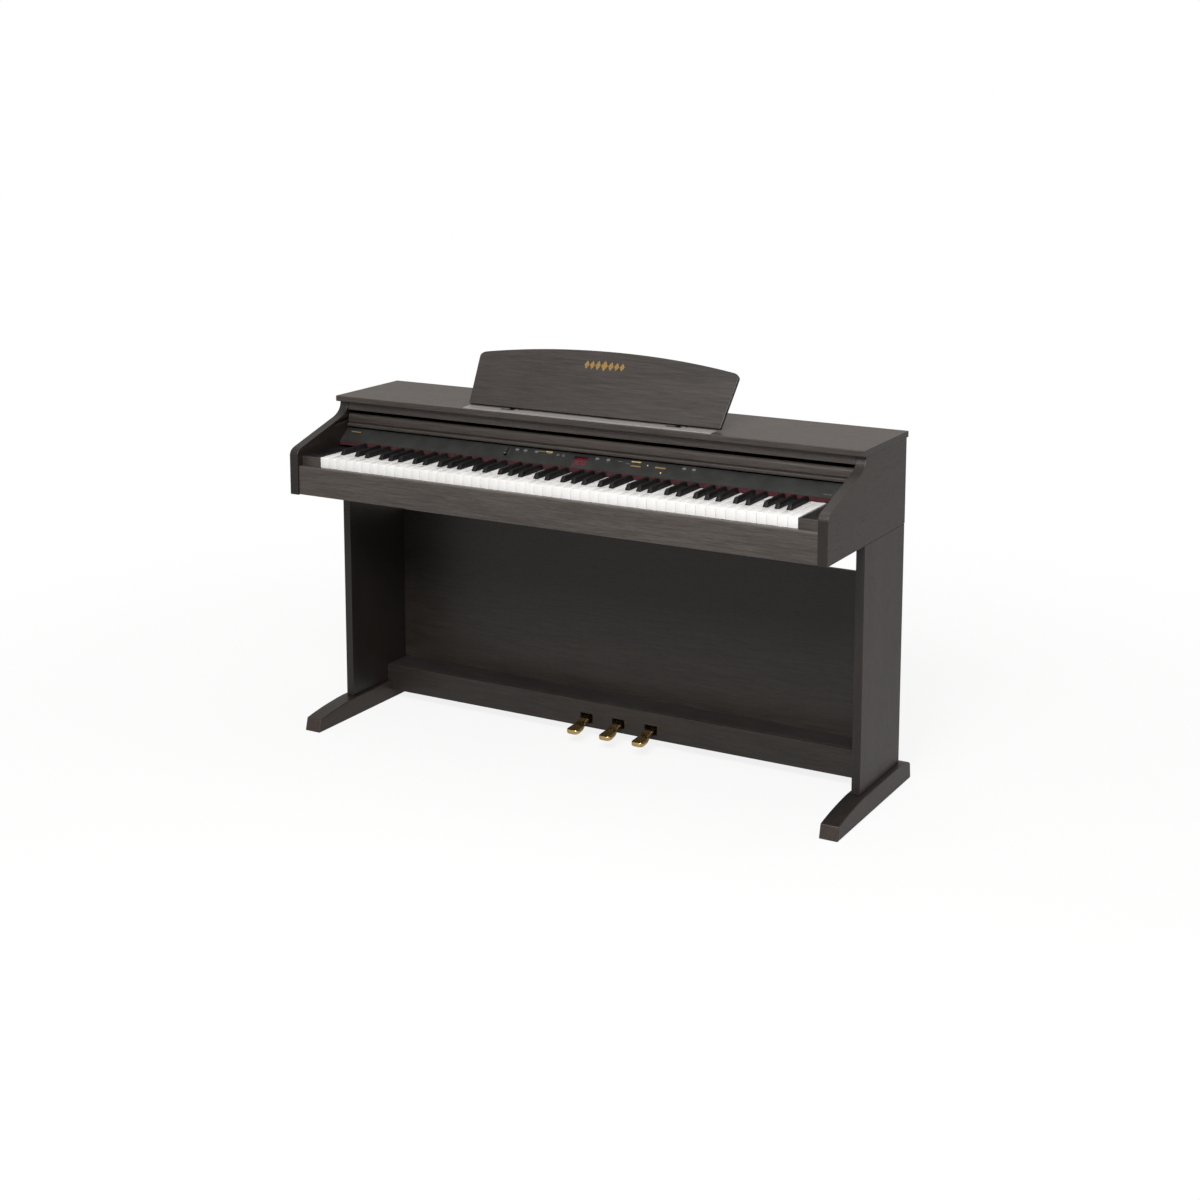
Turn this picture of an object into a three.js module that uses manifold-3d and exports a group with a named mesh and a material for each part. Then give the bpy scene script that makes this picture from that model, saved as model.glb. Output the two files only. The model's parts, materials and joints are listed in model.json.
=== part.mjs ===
// Digital piano with 88 keys on its own stand: cabinet, sliding key cover, folding music desk,
// control panel, legs with long feet, back panel and three pedals.
// Millimetres. X runs along the keyboard to the treble end, Y to the back, Z up from the floor.
import * as THREE from "three";
import { mergeVertices } from "three/addons/utils/BufferGeometryUtils.js";
import Module from "manifold-3d";

const wasm = await Module();
wasm.setup();

// ---------- driving sizes ----------
const cabinetWidth = 1374; // over the two side panels
const overallHeight = 812; // floor to the face of the top board
const cabinetDepth = 440; // front of the side panels to their back
const sidePanelThickness = 23;
const topBoardThickness = 14;
const topBoardOverhang = 2;
const topBoardFrontY = 186;
const footFrontY = 51;
const footRearOverhang = 42; // foot behind the back of the cabinet
const keyBlockWidth = 52;
const whiteKeyCount = 52;
const whiteKeyVisibleLength = 146;
const fitGap = 0.3; // between pieces that are fixed to each other

// ---------- levels, measured from the playing surface of the white keys ----------
const keyTopZ = overallHeight - 117;
const cabinetBottomZ = keyTopZ - 92;
const sideFrontTopZ = keyTopZ + 2;
const slipTopZ = keyTopZ - 23;
const keyBedThickness = 16;
const keyBedBottomZ = cabinetBottomZ + 3;
const keyBedTopZ = keyBedBottomZ + keyBedThickness;
const topBoardBottomZ = overallHeight - topBoardThickness;
const feltBottomZ = keyTopZ + 1.7;
const panelLipBottomZ = keyTopZ + 3.5;
const panelSlopeFootZ = keyTopZ + 12;
const panelShelfZ = keyTopZ + 38;
const coverRailTopZ = keyTopZ + 73;
const fasciaBottomZ = coverRailTopZ + 9;

// ---------- depths, measured back from the front of the side panels ----------
const slipFrontY = 4;
const slipThickness = 14.7;
const keyBedFrontY = slipFrontY + slipThickness + fitGap;
const keyFrontY = 20.7;
const keyRearVisibleY = keyFrontY + whiteKeyVisibleLength;
const panelLipY = keyRearVisibleY + 0.8;
const panelShelfY = panelLipY + 32.5;
const panelShelfDepth = 140;
const fasciaY = 201;
const fasciaThickness = 14;
const rearBoardThickness = 12;
const rearBoardFrontY = cabinetDepth - rearBoardThickness - 0.5;

// the origin is under the middle of the footprint, from the cabinet's front to the heels of the feet
const footRearY = cabinetDepth + footRearOverhang;
const frameShiftY = -footRearY / 2;

// ---------- widths ----------
const cabinetHalf = cabinetWidth / 2;
const innerHalf = cabinetHalf - sidePanelThickness;
const boardHalf = innerHalf - fitGap;
const keyboardHalf = innerHalf - keyBlockWidth;
const whitePitch = (2 * keyboardHalf) / whiteKeyCount;

// ---------- finishes ----------
const finishes = {
  darkWood: { color: 0x48423e, roughness: 0.55, metalness: 0 },
  litWood: { color: 0x5a5552, roughness: 0.5, metalness: 0 },
  panelPlastic: { color: 0x2e2f2e, roughness: 0.5, metalness: 0 },
  blackPlastic: { color: 0x161616, roughness: 0.35, metalness: 0 },
  whitePlastic: { color: 0xf4f3ef, roughness: 0.25, metalness: 0 },
  greyPlastic: { color: 0x77787a, roughness: 0.5, metalness: 0 },
  redFelt: { color: 0x5a1a20, roughness: 0.95, metalness: 0 },
  redDisplay: { color: 0x3a0d14, roughness: 0.15, metalness: 0 },
  brass: { color: 0xb89a4e, roughness: 0.3, metalness: 1 },
  steel: { color: 0x55565a, roughness: 0.4, metalness: 1 },
  satinStrip: { color: 0x8a8683, roughness: 0.35, metalness: 0 },
  circuitBoard: { color: 0x1f4a2c, roughness: 0.6, metalness: 0 },
  speakerPaper: { color: 0x1b1b1c, roughness: 0.85, metalness: 0 },
};

const piano = new THREE.Group();
piano.name = "digital_piano_on_stand";

// ---------- geometry helpers ----------
function boxBetween(x0, x1, y0, y1, z0, z1) {
  const box = new THREE.BoxGeometry(x1 - x0, y1 - y0, z1 - z0);
  return box.translate((x0 + x1) / 2, (y0 + y1) / 2, (z0 + z1) / 2);
}

// An outline drawn in depth and height, [y, z] pairs or a shape, drawn out along the keyboard.
function alongKeyboard(outline, x0, x1, curveSegments = 8) {
  const shape = outline instanceof THREE.Shape ? outline : shapeFrom(outline);
  const solid = new THREE.ExtrudeGeometry(shape, {
    depth: x1 - x0,
    bevelEnabled: false,
    curveSegments,
  });
  const turn = new THREE.Matrix4();
  turn.set(0, 0, 1, x0, 1, 0, 0, 0, 0, 1, 0, 0, 0, 0, 0, 1);
  return solid.applyMatrix4(turn);
}

// An outline seen from above, drawn upward.
function upward(outline, z0, z1, curveSegments = 8) {
  const shape = outline instanceof THREE.Shape ? outline : shapeFrom(outline);
  const solid = new THREE.ExtrudeGeometry(shape, {
    depth: z1 - z0,
    bevelEnabled: false,
    curveSegments,
  });
  return solid.translate(0, 0, z0);
}

function shapeFrom(points) {
  return new THREE.Shape(points.map(([a, b]) => new THREE.Vector2(a, b)));
}

function rodAlongKeyboard(x0, x1, y, z, radius, sides = 24) {
  const rod = new THREE.CylinderGeometry(radius, radius, x1 - x0, sides);
  return rod.rotateZ(Math.PI / 2).translate((x0 + x1) / 2, y, z);
}

function solidOf(geometry) {
  const bare = geometry.clone();
  bare.deleteAttribute("normal");
  bare.deleteAttribute("uv");
  const welded = mergeVertices(bare, 1e-4);
  return new wasm.Manifold(
    new wasm.Mesh({
      numProp: 3,
      vertProperties: new Float32Array(welded.attributes.position.array),
      triVerts: new Uint32Array(welded.index.array),
    })
  );
}

function joined(geometries) {
  return geometries.map(solidOf).reduce((whole, piece) => whole.add(piece));
}

function geometryOf(solid) {
  const mesh = solid.getMesh();
  const geometry = new THREE.BufferGeometry();
  geometry.setAttribute("position", new THREE.BufferAttribute(new Float32Array(mesh.vertProperties), 3));
  geometry.setIndex(new THREE.BufferAttribute(new Uint32Array(mesh.triVerts), 1));
  return geometry;
}

function addPiece(name, shape, finish) {
  const geometry = shape.isBufferGeometry ? shape : geometryOf(shape);
  geometry.translate(0, frameShiftY, 0);
  const mesh = new THREE.Mesh(geometry, new THREE.MeshStandardMaterial(finish));
  mesh.name = name;
  piano.add(mesh);
}

// Two mirrored pieces share one shape; the left one stands at negative X.
function mirrored(geometry) {
  const copy = geometry.clone().scale(-1, 1, 1);
  const flipped = copy.index ? copy.toNonIndexed() : copy;
  const position = flipped.attributes.position;
  for (let corner = 0; corner < position.count; corner += 3) {
    const second = [position.getX(corner + 1), position.getY(corner + 1), position.getZ(corner + 1)];
    const third = [position.getX(corner + 2), position.getY(corner + 2), position.getZ(corner + 2)];
    position.setXYZ(corner + 1, ...third);
    position.setXYZ(corner + 2, ...second);
  }
  return flipped;
}

// ---------- key cover path: the cover swings forward on an arc about a far, low centre ----------
const coverCentreY = 266.6;
const coverCentreZ = keyTopZ - 695.8;
const coverArcRadius = 758.4;
const coverThickness = 10;
const coverTravel = THREE.MathUtils.degToRad(14.4);
const coverFrontY = 217;
const coverRearY = cabinetDepth - 49;
const coverSideGap = 3;
const glideFrontY = coverRearY - 50;
const glideRearY = coverRearY - 3;
const glideThickness = 6;
const glideDepth = 5;
const grooveGap = 1.2;

function coverAngleAt(y) {
  return Math.asin((coverCentreY - y) / coverArcRadius);
}

// A band of constant thickness that follows the cover's arc between two angles.
function coverBand(startAngle, endAngle, thickness, steps) {
  const outer = [];
  const inner = [];
  for (let step = 0; step <= steps; step += 1) {
    const angle = startAngle + ((endAngle - startAngle) * step) / steps;
    const outerRadius = coverArcRadius + thickness / 2;
    const innerRadius = coverArcRadius - thickness / 2;
    outer.push([coverCentreY - outerRadius * Math.sin(angle), coverCentreZ + outerRadius * Math.cos(angle)]);
    inner.push([coverCentreY - innerRadius * Math.sin(angle), coverCentreZ + innerRadius * Math.cos(angle)]);
  }
  return outer.concat(inner.reverse());
}

// ---------- cabinet: side panels with the groove that carries the key cover ----------
const cheekRearY = topBoardFrontY + 14.5; // where the front cheek rises to the top board
const cheekCurveFootY = 165;
const cheekCurveFootZ = keyTopZ + 65.6;
const cheekNoseY = 19.5;
const cheekNoseZ = keyTopZ + 21;
const sideOutline = new THREE.Shape();
sideOutline.moveTo(0, cabinetBottomZ);
sideOutline.lineTo(cabinetDepth, cabinetBottomZ);
sideOutline.lineTo(cabinetDepth, topBoardBottomZ - fitGap);
sideOutline.lineTo(cheekRearY, topBoardBottomZ - fitGap);
sideOutline.lineTo(cheekRearY, topBoardBottomZ - 5);
sideOutline.quadraticCurveTo(cheekRearY - 2.5, cheekCurveFootZ + 9.4, cheekCurveFootY, cheekCurveFootZ);
sideOutline.lineTo(cheekNoseY, cheekNoseZ);
sideOutline.quadraticCurveTo(1.5, cheekNoseZ - 5, 0, sideFrontTopZ);

const sideBlank = alongKeyboard(sideOutline, innerHalf, cabinetHalf, 10);
const grooveBand = coverBand(
  coverAngleAt(glideRearY) - 0.01,
  coverAngleAt(glideFrontY) + coverTravel + 0.004,
  glideThickness + 2 * grooveGap,
  14
);
const grooveCut = alongKeyboard(grooveBand, innerHalf - 1, innerHalf + glideDepth + 0.8);
const sidePanel = geometryOf(solidOf(sideBlank).subtract(solidOf(grooveCut)));
addPiece("side_panel_left", mirrored(sidePanel), finishes.darkWood);
addPiece("side_panel_right", sidePanel, finishes.darkWood);

// ---------- cabinet: boards ----------
const topBoardHalf = cabinetHalf + topBoardOverhang;
const topBoardRearY = cabinetDepth + 5;
const topBoardEdge = 1.5;
const topBoardOutline = [
  [topBoardFrontY + topBoardEdge, topBoardBottomZ],
  [topBoardRearY, topBoardBottomZ],
  [topBoardRearY, overallHeight - topBoardEdge],
  [topBoardRearY - topBoardEdge, overallHeight],
  [topBoardFrontY + topBoardEdge, overallHeight],
  [topBoardFrontY, overallHeight - topBoardEdge],
  [topBoardFrontY, topBoardBottomZ + topBoardEdge],
];
addPiece("top_board", alongKeyboard(topBoardOutline, -topBoardHalf, topBoardHalf), finishes.litWood);

addPiece(
  "front_fascia",
  boxBetween(
    -boardHalf, boardHalf, fasciaY, fasciaY + fasciaThickness, fasciaBottomZ, topBoardBottomZ - fitGap
  ),
  finishes.darkWood
);

const slipRearY = slipFrontY + slipThickness;
const slipEdge = 2.5;
const slipOutline = [
  [slipFrontY, cabinetBottomZ + 1],
  [slipRearY, cabinetBottomZ + 1],
  [slipRearY, slipTopZ],
  [slipFrontY + slipEdge, slipTopZ],
  [slipFrontY, slipTopZ - slipEdge],
];
addPiece("key_slip", alongKeyboard(slipOutline, -boardHalf, boardHalf), finishes.litWood);

const rearBoardRearY = rearBoardFrontY + rearBoardThickness;
const jackCentreX = cabinetHalf * 0.72;
const jackOpeningHalfWidth = 54;
const jackOpeningBottomZ = keyTopZ - 53;
const jackOpeningTopZ = keyTopZ - 17;
const rearBlank = boxBetween(
  -boardHalf, boardHalf, rearBoardFrontY, rearBoardRearY, keyBedBottomZ, topBoardBottomZ - fitGap
);
const jackOpening = boxBetween(
  jackCentreX - jackOpeningHalfWidth, jackCentreX + jackOpeningHalfWidth,
  rearBoardFrontY - 1, rearBoardRearY + 1, jackOpeningBottomZ, jackOpeningTopZ
);
addPiece("rear_board", solidOf(rearBlank).subtract(solidOf(jackOpening)), finishes.darkWood);

// connector plate on the back: power inlet on the right, pedal socket and two audio sockets
const plateMargin = 8;
const plateThickness = 3;
const plateRearY = rearBoardRearY + fitGap + plateThickness;
const socketBoxFrontY = rearBoardFrontY - 8;
const plate = boxBetween(
  jackCentreX - jackOpeningHalfWidth - plateMargin, jackCentreX + jackOpeningHalfWidth + plateMargin,
  rearBoardRearY + fitGap, plateRearY, jackOpeningBottomZ - plateMargin, jackOpeningTopZ + plateMargin
);
const socketBox = boxBetween(
  jackCentreX - jackOpeningHalfWidth + 2, jackCentreX + jackOpeningHalfWidth - 2,
  socketBoxFrontY, plateRearY - 1, jackOpeningBottomZ + 2, jackOpeningTopZ - 2
);
const socketMiddleZ = (jackOpeningBottomZ + jackOpeningTopZ) / 2;
const powerInletX = jackCentreX - 32.5;
const powerInletHalfWidth = 13.5;
const powerInletHalfHeight = 10;
const pedalSocketX = jackCentreX + 4;
const pedalSocketHalfWidth = 9;
const pedalSocketHalfHeight = 6;
const audioSocketRadius = 3.4;
const audioSocketPositions = [jackCentreX + 27, jackCentreX + 42];
function squareSocketHole(x, halfWidth, halfHeight) {
  return boxBetween(
    x - halfWidth, x + halfWidth, rearBoardFrontY - 2, plateRearY + 1,
    socketMiddleZ - halfHeight, socketMiddleZ + halfHeight
  );
}
function audioSocketHole(x) {
  const length = plateRearY + 1 - rearBoardFrontY;
  const hole = new THREE.CylinderGeometry(audioSocketRadius, audioSocketRadius, length, 20);
  return hole.translate(x, rearBoardFrontY + length / 2, socketMiddleZ);
}
const socketHoles = [
  squareSocketHole(powerInletX, powerInletHalfWidth, powerInletHalfHeight),
  squareSocketHole(pedalSocketX, pedalSocketHalfWidth, pedalSocketHalfHeight),
  ...audioSocketPositions.map(audioSocketHole),
];
const jackPanel = socketHoles.reduce(
  (panel, hole) => panel.subtract(solidOf(hole)),
  joined([plate, socketBox])
);
addPiece("jack_panel", jackPanel, finishes.blackPlastic);

// ---------- key bed with a round opening under each loudspeaker ----------
const speakerX = keyboardHalf * 0.785;
const speakerY = keyFrontY + 160;
const speakerRadius = 62;
const speakerOpeningRadius = 54;
const keyBedBlank = boxBetween(
  -boardHalf, boardHalf, keyBedFrontY, rearBoardFrontY - fitGap, keyBedBottomZ, keyBedTopZ
);
function speakerOpening(x) {
  const depth = keyBedThickness + 4;
  const opening = new THREE.CylinderGeometry(speakerOpeningRadius, speakerOpeningRadius, depth, 40);
  return opening.rotateX(Math.PI / 2).translate(x, speakerY, keyBedBottomZ + keyBedThickness / 2);
}
const keyBed = solidOf(keyBedBlank)
  .subtract(solidOf(speakerOpening(-speakerX)))
  .subtract(solidOf(speakerOpening(speakerX)));
addPiece("key_bed", keyBed, finishes.darkWood);

// a loudspeaker facing down: dust cap, paper cone, surround, rim, basket and magnet
const dustCapRadius = 16;
const dustCapDepth = 22;
const coneRadius = 46;
const coneEdgeDepth = 7;
const surroundRadius = 56;
const basketHeight = 30;
const magnetRadius = 28;
const speakerHeight = 41;
function loudspeaker(x) {
  const faceZ = keyBedTopZ + fitGap;
  const profile = [
    [0, dustCapDepth - 6],
    [dustCapRadius - 7, dustCapDepth - 7],
    [dustCapRadius, dustCapDepth],
    [coneRadius, coneEdgeDepth],
    [surroundRadius - 6, 3],
    [surroundRadius - 2, 2],
    [surroundRadius, 0],
    [speakerRadius, 0],
    [speakerRadius, 4],
    [speakerRadius - 10, 8],
    [magnetRadius, basketHeight],
    [magnetRadius, speakerHeight],
    [0, speakerHeight],
  ].map(([radius, height]) => new THREE.Vector2(radius, height));
  const speaker = new THREE.LatheGeometry(profile, 36);
  return speaker.rotateX(Math.PI / 2).translate(x, speakerY, faceZ);
}
addPiece("speaker_left", solidOf(loudspeaker(-speakerX)), finishes.speakerPaper);
addPiece("speaker_right", solidOf(loudspeaker(speakerX)), finishes.speakerPaper);

// ---------- key blocks at both ends of the keyboard ----------
const keyBlockGap = 1.2;
const blockFrontY = keyFrontY - 1.7;
const blockRearY = keyRearVisibleY - 5;
const blockTopZ = keyTopZ - 0.8;
const blockEdge = 1.5;
const blockOutline = [
  [blockFrontY, keyBedTopZ + fitGap],
  [blockRearY, keyBedTopZ + fitGap],
  [blockRearY, blockTopZ],
  [blockFrontY + blockEdge, blockTopZ],
  [blockFrontY, blockTopZ - blockEdge],
];
const keyBlock = alongKeyboard(blockOutline, keyboardHalf + keyBlockGap, boardHalf);
addPiece("key_block_left", mirrored(keyBlock), finishes.darkWood);
addPiece("key_block_right", keyBlock, finishes.darkWood);

// ---------- keys ----------
const whiteGap = 1;
const keyBodyDepth = 12;
const keyBodyBottomZ = keyTopZ - keyBodyDepth;
const keyLipBottomZ = keyTopZ - 27;
const keyLipThickness = 4;
const keyPivotY = keyFrontY + 304.3;
const blackKeyFrontY = keyFrontY + 49.3;
const whiteShoulderY = blackKeyFrontY - 1.5;
const blackKeyRearY = keyRearVisibleY - 4;
const blackKeyHeight = 12;
const standardPitch = 23.5; // the pitch at which the black keys have their stated width and shifts
const blackKeyWidth = 10.6 * (whitePitch / standardPitch);
const blackToWhiteGap = 1.3;
const fullHeightRearY = keyPivotY - 25;
const bankBarFrontY = keyPivotY + 6;
const bankBarRearY = bankBarFrontY + 12;
const singleKeyRearY = bankBarFrontY - 1.5;
const whiteTailTopZ = keyTopZ - 6;
const blackTailBottomZ = keyTopZ - 9.5;
const blackBarBottomZ = whiteTailTopZ + 1.8;
const blackTailTopZ = keyTopZ - 0.5;

// Names of the white keys from the lowest; the row starts on A and ends on C.
const whiteNames = ["c", "d", "e", "f", "g", "a", "b"];
const lowestNameIndex = 5;
// A black key follows these names, shifted from the joint between its neighbours.
const blackShift = { c: -2.6, d: 2.6, f: -3.6, g: 0, a: 3.6 };
const middleOctaveStart = 23;
const middleOctaveEnd = 29;
const middleOctaveNumber = 4;

const whiteKeys = [];
for (let index = 0; index < whiteKeyCount; index += 1) {
  const name = whiteNames[(index + lowestNameIndex) % whiteNames.length];
  const left = -keyboardHalf + index * whitePitch;
  whiteKeys.push({ index, name, left: left + whiteGap / 2, right: left + whitePitch - whiteGap / 2 });
}
const blackKeys = [];
for (const key of whiteKeys) {
  const last = key.index === whiteKeyCount - 1;
  if (blackShift[key.name] !== undefined && !last) {
    const centre = key.right + whiteGap / 2 + blackShift[key.name] * (whitePitch / standardPitch);
    blackKeys.push({ index: key.index, name: key.name, centre });
  }
}

// The rear of a white key is narrowed to pass between the black keys beside it.
function rearEdges(key) {
  const room = blackKeyWidth / 2 + blackToWhiteGap;
  const onLeft = blackKeys.find((black) => black.index === key.index - 1);
  const onRight = blackKeys.find((black) => black.index === key.index);
  return {
    left: onLeft ? Math.max(key.left, onLeft.centre + room) : key.left,
    right: onRight ? Math.min(key.right, onRight.centre - room) : key.right,
  };
}

function whiteKeySolids(key, tailRearY) {
  const rear = rearEdges(key);
  const frontEdge = 1;
  const frontOutline = [
    [keyFrontY, keyLipBottomZ],
    [keyFrontY + keyLipThickness, keyLipBottomZ],
    [keyFrontY + keyLipThickness, keyBodyBottomZ],
    [whiteShoulderY, keyBodyBottomZ],
    [whiteShoulderY, keyTopZ],
    [keyFrontY + frontEdge, keyTopZ],
    [keyFrontY, keyTopZ - frontEdge],
  ];
  const rearOutline = [
    [whiteShoulderY - 1, keyBodyBottomZ],
    [tailRearY, keyBodyBottomZ],
    [tailRearY, whiteTailTopZ],
    [fullHeightRearY, whiteTailTopZ],
    [fullHeightRearY, keyTopZ],
    [whiteShoulderY - 1, keyTopZ],
  ];
  return [
    alongKeyboard(frontOutline, key.left, key.right),
    alongKeyboard(rearOutline, rear.left, rear.right),
  ];
}

function blackKeySolid(key, tailRearY) {
  const noseRun = 7;
  const noseRise = 2;
  const outline = [
    [blackKeyFrontY, blackTailBottomZ],
    [fullHeightRearY, blackTailBottomZ],
    [fullHeightRearY + 3, blackBarBottomZ],
    [tailRearY, blackBarBottomZ],
    [tailRearY, blackTailTopZ],
    [blackKeyRearY, blackTailTopZ],
    [blackKeyRearY, keyTopZ + blackKeyHeight],
    [blackKeyFrontY + noseRun, keyTopZ + blackKeyHeight],
    [blackKeyFrontY, keyTopZ + noseRise],
  ];
  return alongKeyboard(outline, key.centre - blackKeyWidth / 2, key.centre + blackKeyWidth / 2);
}

function inMiddleOctave(key) {
  return key.index >= middleOctaveStart && key.index <= middleOctaveEnd;
}

for (const key of whiteKeys.filter(inMiddleOctave)) {
  const name = `white_key_${key.name}${middleOctaveNumber}`;
  addPiece(name, joined(whiteKeySolids(key, singleKeyRearY)), finishes.whitePlastic);
}
for (const key of blackKeys.filter(inMiddleOctave)) {
  const name = `black_key_${key.name}_sharp${middleOctaveNumber}`;
  addPiece(name, blackKeySolid(key, singleKeyRearY), finishes.blackPlastic);
}

// The other keys hang on two bars behind the pivot line, one for the white and one for the black.
const outerWhite = whiteKeys.filter((key) => !inMiddleOctave(key));
const outerBlack = blackKeys.filter((key) => !inMiddleOctave(key));
const barOverlap = 1;
const whiteBar = boxBetween(
  whiteKeys[0].left, whiteKeys[whiteKeyCount - 1].right,
  bankBarFrontY, bankBarRearY, keyBodyBottomZ, whiteTailTopZ
);
const whiteBankSolids = outerWhite.flatMap((key) => whiteKeySolids(key, bankBarFrontY + barOverlap));
addPiece("white_key_bank", joined([whiteBar, ...whiteBankSolids]), finishes.whitePlastic);

const blackBar = boxBetween(
  outerBlack[0].centre - blackKeyWidth / 2, outerBlack[outerBlack.length - 1].centre + blackKeyWidth / 2,
  bankBarFrontY, bankBarRearY, blackBarBottomZ, blackTailTopZ
);
const blackBankSolids = outerBlack.map((key) => blackKeySolid(key, bankBarFrontY + barOverlap));
addPiece("black_key_bank", joined([blackBar, ...blackBankSolids]), finishes.blackPlastic);

const keyRailTopZ = keyBodyBottomZ - 0.6;
addPiece(
  "key_pivot_rail",
  boxBetween(-keyboardHalf, keyboardHalf, keyPivotY - 13, keyPivotY + 13, keyBedTopZ + fitGap, keyRailTopZ),
  finishes.blackPlastic
);

// ---------- control panel: a lip, a slope that carries the controls and a shelf behind ----------
const panelThickness = 2.5;
const slopeRun = panelShelfY - panelLipY;
const slopeRise = panelShelfZ - panelSlopeFootZ;
const slopeAngle = Math.atan2(slopeRise, slopeRun);
const slopeFrame = new THREE.Matrix4().makeBasis(
  new THREE.Vector3(1, 0, 0),
  new THREE.Vector3(0, Math.cos(slopeAngle), Math.sin(slopeAngle)),
  new THREE.Vector3(0, -Math.sin(slopeAngle), Math.cos(slopeAngle))
);
slopeFrame.setPosition(0, panelLipY, panelSlopeFootZ);

// A block placed on the slope: along the keyboard, up the slope and out of its face.
function slopeBlock(x0, x1, up0, up1, out0, out1) {
  return boxBetween(x0, x1, up0, up1, out0, out1).applyMatrix4(slopeFrame);
}

const panelRearY = panelShelfY + panelShelfDepth;
const innerShift = panelThickness * Math.tan(slopeAngle / 2);
const lipShift = panelThickness * Math.tan((Math.PI / 2 - slopeAngle) / 2);
const panelOutline = [
  [panelLipY, panelLipBottomZ],
  [panelLipY + panelThickness, panelLipBottomZ],
  [panelLipY + panelThickness, panelSlopeFootZ - lipShift],
  [panelShelfY + innerShift, panelShelfZ - panelThickness],
  [panelRearY, panelShelfZ - panelThickness],
  [panelRearY, panelShelfZ],
  [panelShelfY, panelShelfZ],
  [panelLipY, panelSlopeFootZ],
];
const controlGap = 0.4;
const buttonHalfWidth = 4.5;
const buttonHalfHeight = 2.6;
const buttonRowUp = 32.5;
const buttonStand = 1.5;
const buttonFlange = 1.5;
const buttons = [
  { name: "power_button", x: -172 },
  { name: "voice_button", x: -150 },
  { name: "rhythm_button", x: -120 },
  { name: "tempo_down_button", x: 41 },
  { name: "tempo_up_button", x: 70 },
  { name: "record_button", x: 262 },
  { name: "play_button", x: 286 },
];
const displayHalfWidth = 18;
const displayLow = 7;
const displayHigh = 34;
const sliderX = -197;
const sliderSlotHalfWidth = 1.4;
const sliderSlotLow = 11;
const sliderSlotHigh = 37;
const sliderKnobLow = 13;
const sliderKnobLength = 6;

const controlDepth = 4.4; // of the flanges behind the face of the slope

const panelHoles = buttons.map(({ x }) =>
  slopeBlock(
    x - buttonHalfWidth - controlGap, x + buttonHalfWidth + controlGap,
    buttonRowUp - buttonHalfHeight - controlGap, buttonRowUp + buttonHalfHeight + controlGap,
    -panelThickness - 1, 1
  )
);
panelHoles.push(
  slopeBlock(
    -displayHalfWidth - controlGap, displayHalfWidth + controlGap,
    displayLow - controlGap, displayHigh + controlGap, -panelThickness - 1, 1
  )
);
panelHoles.push(
  slopeBlock(
    sliderX - sliderSlotHalfWidth, sliderX + sliderSlotHalfWidth,
    sliderSlotLow, sliderSlotHigh, -panelThickness - 1, 1
  )
);
const controlPanel = panelHoles.reduce(
  (panel, hole) => panel.subtract(solidOf(hole)),
  solidOf(alongKeyboard(panelOutline, -boardHalf, boardHalf))
);
addPiece("control_panel", controlPanel, finishes.panelPlastic);

const feltThickness = 2;
addPiece(
  "felt_strip",
  boxBetween(
    -boardHalf, boardHalf, panelLipY - 0.2 - feltThickness, panelLipY - 0.2, feltBottomZ, panelSlopeFootZ - 1
  ),
  finishes.redFelt
);

const displayGlass = slopeBlock(-displayHalfWidth, displayHalfWidth, displayLow, displayHigh, -3.2, -0.5);
const displayFlange = slopeBlock(
  -displayHalfWidth - 2, displayHalfWidth + 2, displayLow - 2, displayHigh + 2,
  -controlDepth, -panelThickness - fitGap
);
addPiece("display_window", joined([displayGlass, displayFlange]), finishes.redDisplay);

for (const { name, x } of buttons) {
  const cap = slopeBlock(
    x - buttonHalfWidth, x + buttonHalfWidth,
    buttonRowUp - buttonHalfHeight, buttonRowUp + buttonHalfHeight, -controlDepth + 0.4, buttonStand
  );
  const flange = slopeBlock(
    x - buttonHalfWidth - buttonFlange, x + buttonHalfWidth + buttonFlange,
    buttonRowUp - buttonHalfHeight - buttonFlange, buttonRowUp + buttonHalfHeight + buttonFlange,
    -controlDepth, -panelThickness - 0.5
  );
  addPiece(name, joined([cap, flange]), finishes.greyPlastic);
}

const knobStemHalfWidth = 0.8;
const knobHalfWidth = 4;
const knobStand = 5;
const knobStem = slopeBlock(
  sliderX - knobStemHalfWidth, sliderX + knobStemHalfWidth,
  sliderKnobLow, sliderKnobLow + sliderKnobLength, -controlDepth - 0.4, 2
);
const knobCap = slopeBlock(
  sliderX - knobHalfWidth, sliderX + knobHalfWidth,
  sliderKnobLow, sliderKnobLow + sliderKnobLength, 0.6, knobStand
);
addPiece("volume_slider", joined([knobStem, knobCap]), finishes.blackPlastic);

// switch board under the slope, on two posts
const boardFace = -6.2;
const boardThickness = 1.6;
const boardEndX = 300;
const boardPostPositions = [-92, 164];
const boardPostHalf = 4;
const boardPosts = boardPostPositions.map((x) =>
  slopeBlock(x - boardPostHalf, x + boardPostHalf, 8, 16, boardFace - 0.5, -panelThickness - fitGap)
);
const controlBoard = joined([
  slopeBlock(sliderX - 12, boardEndX, 3, 39, boardFace - boardThickness, boardFace),
  ...boardPosts,
]);
addPiece("control_board", controlBoard, finishes.circuitBoard);

// ---------- key cover: curved panel with edge tongues, and its front rail ----------
const coverHalf = innerHalf - coverSideGap;
const coverPanelBand = coverBand(coverAngleAt(coverRearY), coverAngleAt(coverFrontY), coverThickness, 12);
const glideBand = coverBand(coverAngleAt(glideRearY), coverAngleAt(glideFrontY), glideThickness, 4);
const glideReach = innerHalf + glideDepth;
addPiece(
  "key_cover",
  joined([
    alongKeyboard(coverPanelBand, -coverHalf, coverHalf),
    alongKeyboard(glideBand, -glideReach, -coverHalf + 4),
    alongKeyboard(glideBand, coverHalf - 4, glideReach),
  ]),
  finishes.darkWood
);

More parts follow.
